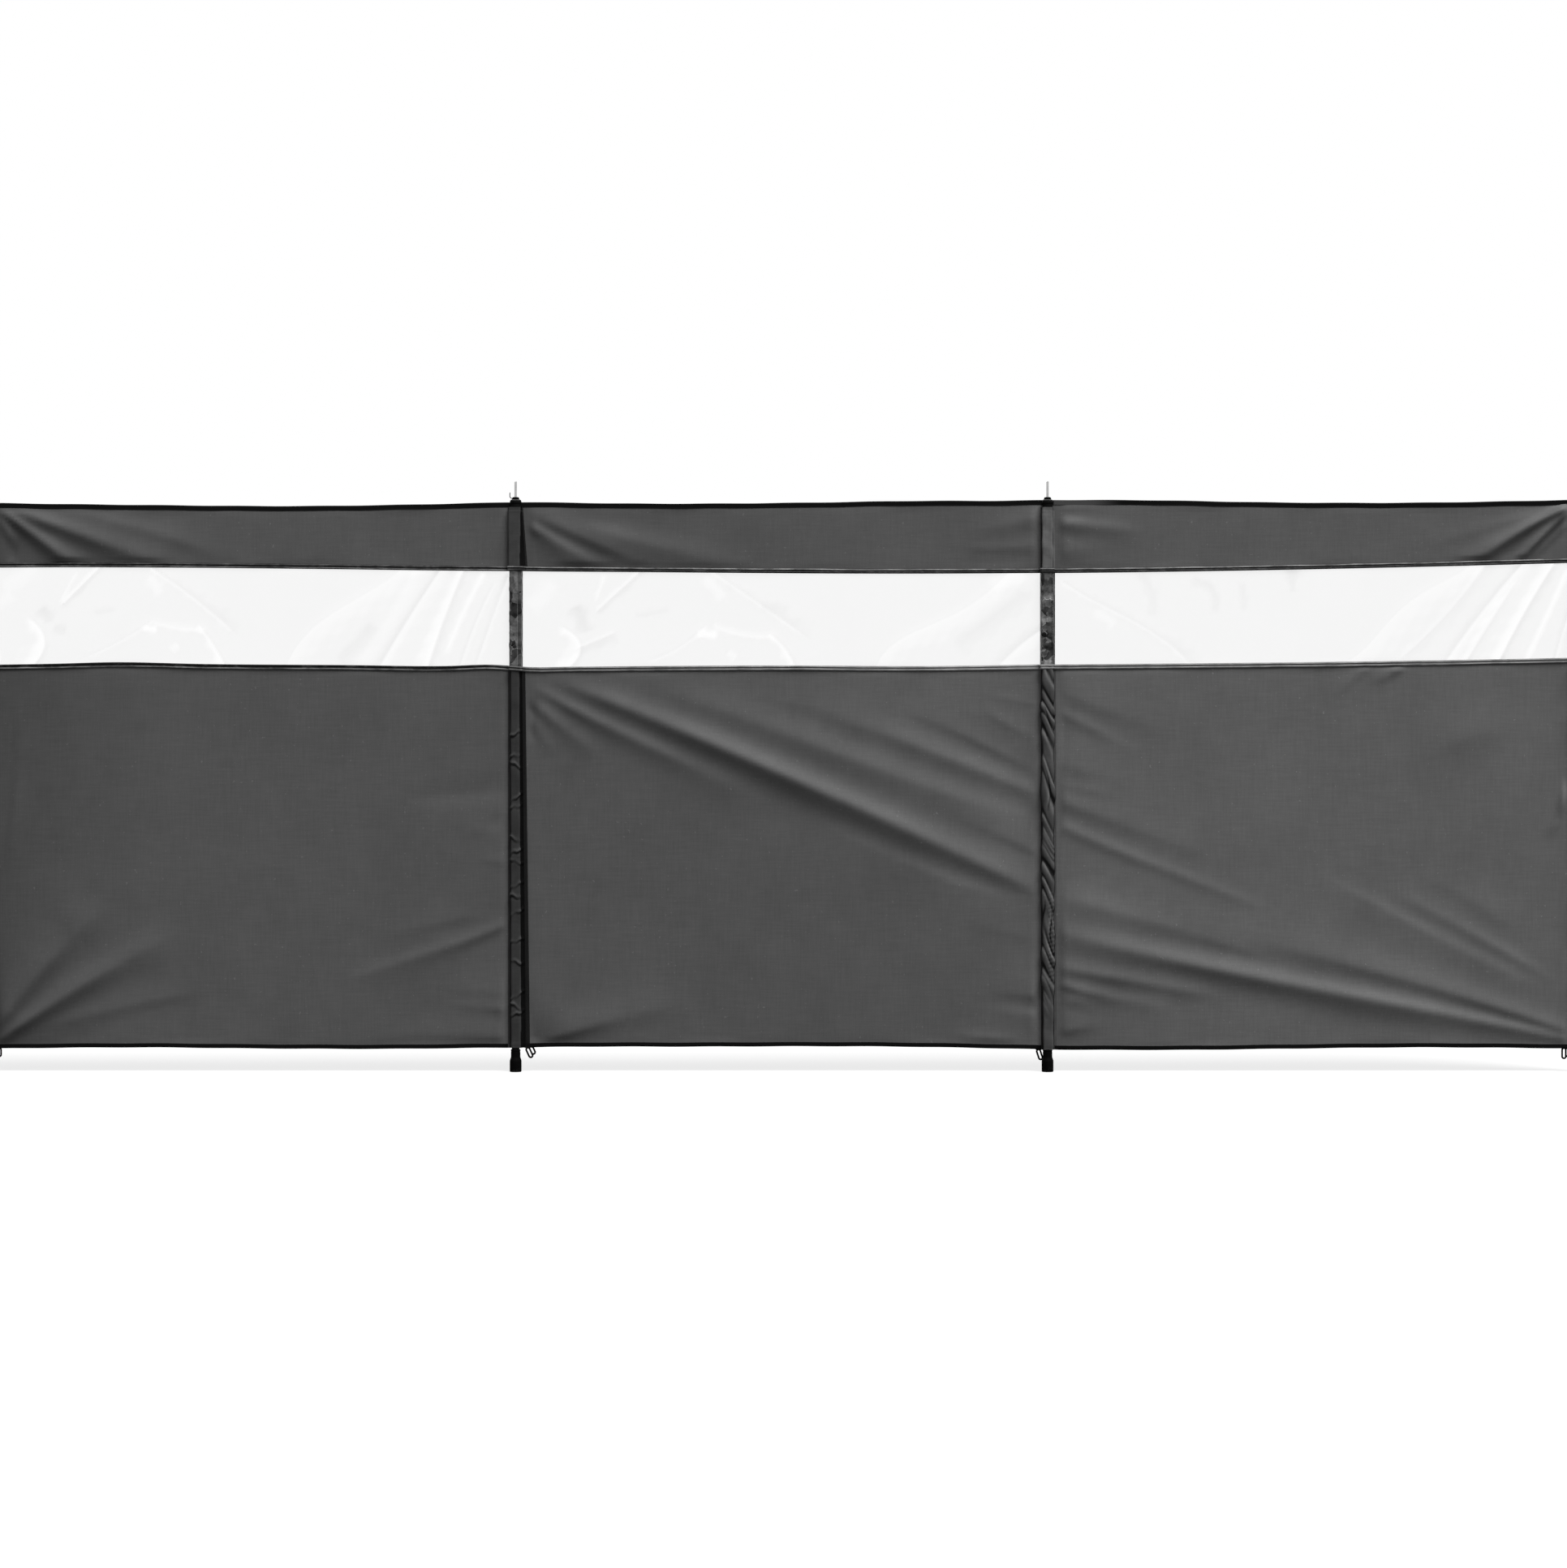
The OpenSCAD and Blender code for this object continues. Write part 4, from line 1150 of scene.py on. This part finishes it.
def tape_route(under, over):
    """Plan points of a tape: flat on the cloth, and over each sleeve where two of its stretches meet."""
    route = [(LEFT_END, CLOTH_Y)]
    for k in POSTS:
        below, above = (np.array(SLEEVE_PLANS[k][s][end]) * MM for s, end in ((under, 1), (over, 0)))
        left_edge, left = np.minimum(below, above)[:2]
        right, out, right_edge = np.maximum(below, above)[2:]
        front, back = SLEEVE_FRONT - TAPE_GAP, FLANGE_Y - TAPE_GAP
        plan = [
            (left_edge + TAPE_EDGE_IN, back), (left - 2 * TAPE_GAP, back), (left - TAPE_GAP, front),
            (right + TAPE_GAP, front), (out + TAPE_GAP, back), (right_edge, back),
        ]
        route += [(POST_X[k - 1] + x, y) for x, y in plan]
    route = [p for p in route if LEFT_END <= p[0] <= RIGHT_END] + [(RIGHT_END, route[-1][1])]
    dense = [np.array(route[0])]
    for a, b in zip(route, route[1:]):
        a, b = np.array(a), np.array(b)
        if np.linalg.norm(b - a) < SAME_PLACE:
            continue
        step = TAPE_LONG_STEP if abs(b[0] - a[0]) > TAPE_FLAT_RUN else TAPE_STEP
        steps = max(2, int(np.linalg.norm(b - a) / step))
        dense += [a + (b - a) * t for t in np.linspace(0, 1, steps + 1)[1:]]
    dense = np.array(dense)
    for _ in range(2):
        dense[1:-1] = (dense[:-2] + 2 * dense[1:-1] + dense[2:]) / 4
    return dense


def binding_piece(name, node, edge, stretches, finish):
    """The front of a binding tape: two soft beads with a stitched groove between them."""
    dense = tape_route(*stretches)
    last = len(dense) - 1

    def place(u, v):
        i = np.rint(u * last).astype(int)
        x, y = dense[i, 0], dense[i, 1]
        step = np.gradient(dense, axis=0)
        step = step / np.linalg.norm(step, axis=1)[:, None]
        bead = TAPE_T + BEAD * np.abs(np.sin(2 * math.pi * v)) ** 0.8 * (0.85 + 0.15 * np.sin(x * 37))
        out_x, out_y = step[i, 1], -step[i, 0]
        z = edge_height(edge, x) + (v - 0.5) * TAPE_W
        return x + out_x * bead, y + out_y * bead, z

    cut = (lengths(dense)[-1], TAPE_W)
    sheet_piece(name, (last, TAPE_ROWS), place, cut, finish, TAPE_T / 2, node)


def back_tape(name, edge, finish):
    """The flat back of a binding tape."""
    length = RIGHT_END - LEFT_END

    def place(u, v):
        x = RIGHT_END - u * length
        y = CLOTH_Y + CLOTH_T + TAPE_T * (1 + 0.4 * np.sin(math.pi * v))
        return x, y, edge_height(edge, x) + (v - 0.5) * TAPE_W

    cells, cut = (round(length / TRIM_CELL), 4), (length, TAPE_W)
    sheet_piece(name, cells, place, cut, finish, TAPE_T)


for name, node, edge, stretches, finish in (
    ("upper_binding", "window_top_binding", UPPER_EDGE, ("window", "top"), UPPER_TAPE),
    ("lower_binding", "window_bottom_binding", LOWER_EDGE, ("low", "window"), LOWER_TAPE),
):
    binding_piece(name, node, edge, stretches, finish)
    back_tape(f"{name}_back", edge, finish)

# Hems folded over the long edges

HEM_ROWS = 12
HEM_SWELL = 0.0004
HEM_EASE = 0.003
HEM_FLAT = 0.6


def hem_piece(name, node, edge, tall, up):
    """A hem folded over an edge; up is 1 on the top edge and -1 on the bottom one."""
    front, back = CLOTH_Y - TAPE_T, CLOTH_Y + CLOTH_T + TAPE_T
    middle, radius = (front + back) / 2, (back - front) / 2
    fold_half = math.pi * radius / 2
    cut = (RIGHT_END - LEFT_END, 2 * (tall + fold_half))

    def place(u, v):
        x = LEFT_END + u * cut[0]
        run = (v - 0.5) * cut[1] * up
        angle = np.clip(run / radius, -math.pi / 2, math.pi / 2)
        leg = np.maximum(np.abs(run) - fold_half, 0)
        swell = HEM_SWELL * smooth(leg / HEM_EASE) * np.sin(x * 23 + 1) ** 2
        z = edge_height(edge, x) + up * (radius * np.cos(angle) * HEM_FLAT - leg)
        return x, middle + radius * np.sin(angle) + np.sign(run) * swell, z + HEM_SWELL * np.sin(x * 31)

    cells = (round(cut[0] / TRIM_CELL), HEM_ROWS)
    sheet_piece(name, cells, place, cut, HEM, TAPE_T, node)


hem_piece("top_edge_hem", "top_hem", TOP_EDGE, TOP_HEM, 1)
hem_piece("bottom_edge_hem", "bottom_hem", BOTTOM_EDGE, LOW_HEM, -1)

# Hoods over the post tops

GROMMET_R = 0.0095
GROMMET_TOP_R = 0.0062
GROMMET_LOW = POLE_TOP + 0.0032
GROMMET_H = 0.0064
GROMMET_RIM = 0.0012
SHANK_R = 0.0042
HOOD_HALF = 0.0150
HOOD_SKIRT = 0.0134
HOOD_DEPTH = 0.0112
HOOD_BORE = 0.0046
HOOD_EASE = 0.003
HOOD_ROWS = 12
TURN_STEPS = 40
SHARP_EDGE = 35


def quarter(steps):
    """Angles from 0 to 90 degrees."""
    return [math.radians(90 / steps * i) for i in range(steps + 1)]


def spun(name, outline, k, finish, closed=True, squeeze=1.0):
    """A turned piece on a post: an outline of radius and height, spun round the post's axis."""
    bm = bmesh.new()
    verts = [bm.verts.new((r, 0, z)) for r, z in outline]
    pairs = list(zip(verts, verts[1:] + verts[:1]))
    edges = [bm.edges.new(pair) for pair in (pairs if closed else pairs[:-1])]
    bmesh.ops.spin(bm, geom=verts + edges, cent=(0, 0, 0), axis=(0, 0, 1), angle=2 * math.pi,
                   steps=TURN_STEPS, use_merge=True)
    bmesh.ops.remove_doubles(bm, verts=bm.verts, dist=SAME_PLACE)
    bmesh.ops.recalc_face_normals(bm, faces=bm.faces)
    bmesh.ops.scale(bm, vec=(1, squeeze, 1), verts=bm.verts)
    bmesh.ops.translate(bm, vec=(POST_X[k - 1], 0, 0), verts=bm.verts)
    for face in bm.faces:
        face.smooth = True
    for edge in bm.edges:
        edge.smooth = edge.calc_face_angle(0) < math.radians(SHARP_EDGE)
    return mesh_piece(name, bm, finish)


def hood_piece(k):
    """A webbing hood drawn down over the post top, its skirt inside the sleeve."""
    outline = []
    for z in np.linspace(HOOD_LOW, HOOD_SHOULDER, HOOD_ROWS)[:-1]:
        outline.append((HOOD_SKIRT + (HOOD_HALF - HOOD_SKIRT) * smooth((z - HOOD_BULGE) / HOOD_EASE), z))
    for a in quarter(6)[:-1]:
        r = HOOD_BORE + (HOOD_HALF - HOOD_BORE) * math.cos(a) ** 0.5
        outline.append((r, HOOD_SHOULDER + (HOOD_TOP - HOOD_SHOULDER) * math.sin(a)))
    outline.append((HOOD_BORE, HOOD_TOP))
    piece = spun(f"hood_{k}", outline, k, WEBBING, False, HOOD_DEPTH / HOOD_HALF)
    first = piece.data.polygons[0]
    outward = first.center - Vector((POST_X[k - 1], 0, first.center.z))
    if first.normal.dot(outward) < 0:
        piece.data.flip_normals()
    thicken(piece, HOOD_T)
    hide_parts(f"top_tab_{k}")


def grommet_piece(k):
    """The ring on a hood, with the pin's shank in its bore."""
    outline = [(SHANK_R, GROMMET_LOW), (GROMMET_R, GROMMET_LOW)]
    for a in quarter(9):
        r = GROMMET_TOP_R + (GROMMET_R - GROMMET_TOP_R) * math.cos(a)
        outline.append((r, GROMMET_LOW + GROMMET_RIM + (GROMMET_H - GROMMET_RIM) * math.sin(a)))
    outline.append((SHANK_R, GROMMET_LOW + GROMMET_H))
    spun(f"grommet_{k}", outline, k, FOOT)


BOOT_R = 0.0152
BOOT_TOP_R = 0.0121
BOOT_H = high("foot_2")[2]
BOOT_FLARE = (0.0270, 0.0400)
FLARE_STEPS = 10
BOOT_EDGE = 0.0025
BOOT_FLOOR = 0.0040
DRAIN_R = 0.0005
BOOT_PLAY = 0.0001
# Steps of the lip, out from the boot's neck and down from its top
BOOT_LIP = ((0, 0.0068), (-0.0006, 0.0062), (-0.0006, 0.0054), (0.0002, 0.0048), (0.0002, 0.0010),
            (-0.0008, 0))


def boot_piece(k):
    """A moulded foot that flares below its collar, with a lip round the top and rounded edges."""
    edge = [(BOOT_R - BOOT_EDGE + BOOT_EDGE * math.sin(a), BOOT_EDGE - BOOT_EDGE * math.cos(a))
            for a in quarter(5)]
    flare = []
    for t in np.linspace(0, 1, FLARE_STEPS + 1):
        r = BOOT_TOP_R + (BOOT_R - BOOT_TOP_R) * (1 + math.cos(math.pi * t)) / 2
        flare.append((r, BOOT_FLARE[0] + t * (BOOT_FLARE[1] - BOOT_FLARE[0])))
    lip = [(BOOT_TOP_R + out, BOOT_H - down) for out, down in BOOT_LIP]
    inner = POLE_R + BOOT_PLAY
    bore = [(inner, BOOT_H), (inner, BOOT_FLOOR), (DRAIN_R, BOOT_FLOOR), (DRAIN_R, 0)]
    boot = spun(f"boot_{k}", edge + flare + lip + bore, k, FOOT)
    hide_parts(f"foot_{k}")


COLLAR_LOW, COLLAR_HIGH = 0.0570, 0.0720
COLLAR_R = 0.0100
COLLAR_PLAY = 0.00005


def collar_piece(k):
    """The foot's thin collar round the pole, inside the sleeve's end."""
    inner = POLE_R + COLLAR_PLAY
    outline = [(inner, COLLAR_LOW), (COLLAR_R, COLLAR_LOW), (COLLAR_R, COLLAR_HIGH), (inner, COLLAR_HIGH)]
    spun(f"collar_{k}", outline, k, FOOT)


for k in POSTS:
    hood_piece(k)
    grommet_piece(k)
    boot_piece(k)
    collar_piece(k)

# A black hook of wire left in the second post's hood

HOOK_X = -0.0149
HOOK_BEND = 0.0060
HOOK_LOW, HOOK_HIGH = 1.4785, 1.4850
HOOK_R = 0.0011
HOOK_END = 0.002


def pulled(bm, ends, step):
    """Draws the open end of a tube on by a straight step and returns its new edges."""
    grown = bmesh.ops.extrude_edge_only(bm, edges=ends)["geom"]
    bmesh.ops.translate(bm, vec=step, verts=[g for g in grown if isinstance(g, bmesh.types.BMVert)])
    return [g for g in grown if isinstance(g, bmesh.types.BMEdge)]


def bent(bm, ends, centre, degrees, steps=8):
    """Draws the open end of a tube on round an arc in the plane of the windbreak."""
    verts = list({v for e in ends for v in e.verts})
    turned = bmesh.ops.spin(bm, geom=verts + ends, cent=centre, axis=(0, 1, 0), angle=math.radians(degrees),
                            steps=steps)
    return [g for g in turned["geom_last"] if isinstance(g, bmesh.types.BMEdge)]


def tube_end(bm, centre, radius, segments=10):
    """A level circle to draw a tube from."""
    ring = bmesh.ops.create_circle(bm, cap_ends=False, segments=segments, radius=radius)["verts"]
    bmesh.ops.translate(bm, vec=centre, verts=ring)
    return list({e for v in ring for e in v.link_edges})


def tube_piece(name, bm, finish):
    """A piece from drawn tubes, their ends closed."""
    bmesh.ops.remove_doubles(bm, verts=bm.verts, dist=SAME_PLACE)
    bmesh.ops.holes_fill(bm, edges=[e for e in bm.edges if e.is_boundary])
    bmesh.ops.recalc_face_normals(bm, faces=bm.faces)
    for face in bm.faces:
        face.smooth = True
    return mesh_piece(name, bm, finish)


def hook_piece():
    bm = bmesh.new()
    x = POST_X[1] + HOOK_X
    start = tube_end(bm, (x, 0, HOOK_HIGH), HOOK_R)
    bent(bm, start, (x + HOOK_END, 0, HOOK_HIGH), 70, steps=4)
    end = pulled(bm, start, (0, 0, HOOK_LOW - HOOK_HIGH))
    end = bent(bm, end, (x + HOOK_BEND, 0, HOOK_LOW), -90)
    pulled(bm, end, (HOOK_END, 0, 0))
    tube_piece("hook_wire", bm, FOOT)


hook_piece()

# Double loops of elastic cord for the ground pegs, sewn to a patch behind the bottom hem

LOOP_X = (0.032, 0.033, -0.019, -0.032)
LOOP_SWING = (0, 25, 18, 0)
LOOP_CORD_R = 0.0024
LOOP_RING = 0.0047
LOOP_SIDES = (0.017, 0.012)
LOOP_BEHIND = 0.0006
PATCH_W, PATCH_H = 0.022, 0.014
PATCH_T = 0.0012
PATCH_DROP = 0.002
PATCH_BEHIND = 2.2 * TAPE_T


def loop_piece(k):
    """Two rings of cord side by side that share the strand between them."""
    x = POST_X[k - 1] + LOOP_X[k - 1]
    top = height_at(BOTTOM_EDGE, x)
    y = high(f"peg_loop_{k}")[1] - LOOP_CORD_R + LOOP_BEHIND
    bm = bmesh.new()
    for shift, side in zip((-LOOP_RING, LOOP_RING), LOOP_SIDES):
        first = tube_end(bm, (shift - LOOP_RING, 0, -LOOP_RING), LOOP_CORD_R, segments=12)
        end = bent(bm, first, (shift, 0, -LOOP_RING), 180, steps=10)
        end = pulled(bm, end, (0, 0, -side))
        end = bent(bm, end, (shift, 0, -LOOP_RING - side), 180, steps=10)
        pulled(bm, end, (0, 0, side))
    turn = Matrix.Rotation(math.radians(-LOOP_SWING[k - 1]), 3, "Y")
    bmesh.ops.rotate(bm, cent=(0, 0, 0), matrix=turn, verts=bm.verts)
    bmesh.ops.translate(bm, vec=(x, y, top), verts=bm.verts)
    piece = tube_piece(f"cord_loop_{k}", bm, CORD)
    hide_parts(f"peg_loop_{k}")


def patch_piece(k):
    """The patch that a loop is sewn to."""
    x = POST_X[k - 1] + LOOP_X[k - 1]
    back = CLOTH_Y + CLOTH_T + PATCH_BEHIND + PATCH_T

    def place(u, v):
        across = x + (0.5 - u) * PATCH_W
        return across, back + 0 * u, edge_height(BOTTOM_EDGE, across) - PATCH_DROP + v * PATCH_H

    sheet_piece(f"loop_patch_{k}", (12, 8), place, (PATCH_W, PATCH_H), HEM, PATCH_T)


for k in POSTS:
    loop_piece(k)
    patch_piece(k)

# Finishes of the poles and their turned tops, which stay as they are

for k in POSTS:
    for node, finish in (("pole", POLE_STEEL), ("spigot", PIN_STEEL)):
        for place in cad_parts[f"{node}_{k}"].material_slots:
            place.material = finish

# Stage: floor, light and camera

# The picture's size, a bay's width in it, and where the second post and the bottom hem are
PICTURE = (1931, 1932)
BAY_PIXELS = 654.7
POST_PIXEL = 635.8
HEM_PIXEL = 1291.5

PIXEL = BAY / BAY_PIXELS
VIEW_X = POST_X[1] + (PICTURE[0] / 2 - POST_PIXEL) * PIXEL
VIEW_Z = BOTTOM_EDGE[0][0] + (HEM_PIXEL - PICTURE[1] / 2) * PIXEL
VIEW_AWAY = 9.0
SENSOR = 36.0
FLOOR_R = 26
FLOOR_SIDES = 96
FLOOR_WHITE = 0.75
FLOOR_PALE = 0.72
FLOOR_BOUNCE = 0.14
SKY_STRENGTH = 0.22


def flat_grey(tone):
    return (tone, tone, tone, 1)


def emptied(owner):
    """The nodes of a material or a world, with none in it yet, and what tells its rays apart."""
    nodes = Nodes(owner)
    nodes.tree.nodes.clear()
    return nodes, lambda kind: nodes.node("ShaderNodeLightPath", output=f"Is {kind} Ray")


def floor():
    """Pale ground that keeps the windbreak's shadow and throws little light back up."""
    bm = bmesh.new()
    bmesh.ops.create_circle(bm, cap_ends=True, segments=FLOOR_SIDES, radius=FLOOR_R)
    finish = bpy.data.materials.new("floor")
    nodes, ray = emptied(finish)
    white = nodes.node("ShaderNodeEmission", {}, {"Color": flat_grey(1)})
    pale = nodes.node("ShaderNodeBsdfDiffuse", {}, {"Color": flat_grey(FLOOR_PALE)})
    dull = nodes.node("ShaderNodeBsdfDiffuse", {}, {"Color": flat_grey(FLOOR_BOUNCE)})
    seen = nodes.node("ShaderNodeMixShader", {}, {0: FLOOR_WHITE, 1: pale, 2: white})
    mix = nodes.node("ShaderNodeMixShader", {}, {0: ray("Camera"), 1: dull, 2: seen})
    nodes.node("ShaderNodeOutputMaterial", {}, {"Surface": mix})
    ground = mesh_object("floor", bm, finish)
    ground.location = (VIEW_X, 0, 0)


def sky():
    """White to the camera, in reflections and through film, and dim as a light."""
    world = bpy.data.worlds.new("studio")
    nodes, ray = emptied(world)
    sums = {"operation": "ADD", "use_clamp": True}
    seen = nodes.node("ShaderNodeMath", sums, {0: ray("Camera"), 1: ray("Glossy")})
    seen = nodes.node("ShaderNodeMath", sums, {0: seen, 1: ray("Transmission")})
    dim = nodes.node("ShaderNodeBackground", {}, {"Color": flat_grey(1), "Strength": SKY_STRENGTH})
    white = nodes.node("ShaderNodeBackground", {}, {"Color": flat_grey(1)})
    mix = nodes.node("ShaderNodeMixShader", {}, {0: seen, 1: dim, 2: white})
    nodes.node("ShaderNodeOutputWorld", {}, {"Surface": mix})
    bpy.context.scene.world = world


def lamp(name, toward, spread, strength):
    """A broad, distant softbox; toward points from the windbreak to it."""
    data = bpy.data.lights.new(name, "SUN")
    data.angle = math.radians(spread)
    data.energy = strength
    light = bpy.data.objects.new(name, data)
    light.rotation_euler = (-Vector(toward)).to_track_quat("-Z", "Y").to_euler()
    bpy.context.scene.collection.objects.link(light)


def camera():
    """A level camera that shows the windbreak as large and where the picture does."""
    data = bpy.data.cameras.new("camera")
    data.sensor_width = SENSOR
    data.sensor_fit = "HORIZONTAL"
    data.lens = SENSOR * (VIEW_AWAY + CLOTH_Y) / (PICTURE[0] * PIXEL)
    eye = bpy.data.objects.new("camera", data)
    eye.location = (VIEW_X, -VIEW_AWAY, VIEW_Z)
    eye.rotation_euler = (math.radians(90), 0, 0)
    bpy.context.scene.collection.objects.link(eye)
    bpy.context.scene.camera = eye


floor()
sky()
lamp("key", (0.28, -0.40, 0.87), spread=30, strength=5.6)
lamp("back_fill", (-0.3, 0.75, 0.6), spread=40, strength=1.2)
camera()
bpy.context.scene.view_settings.view_transform = "Standard"
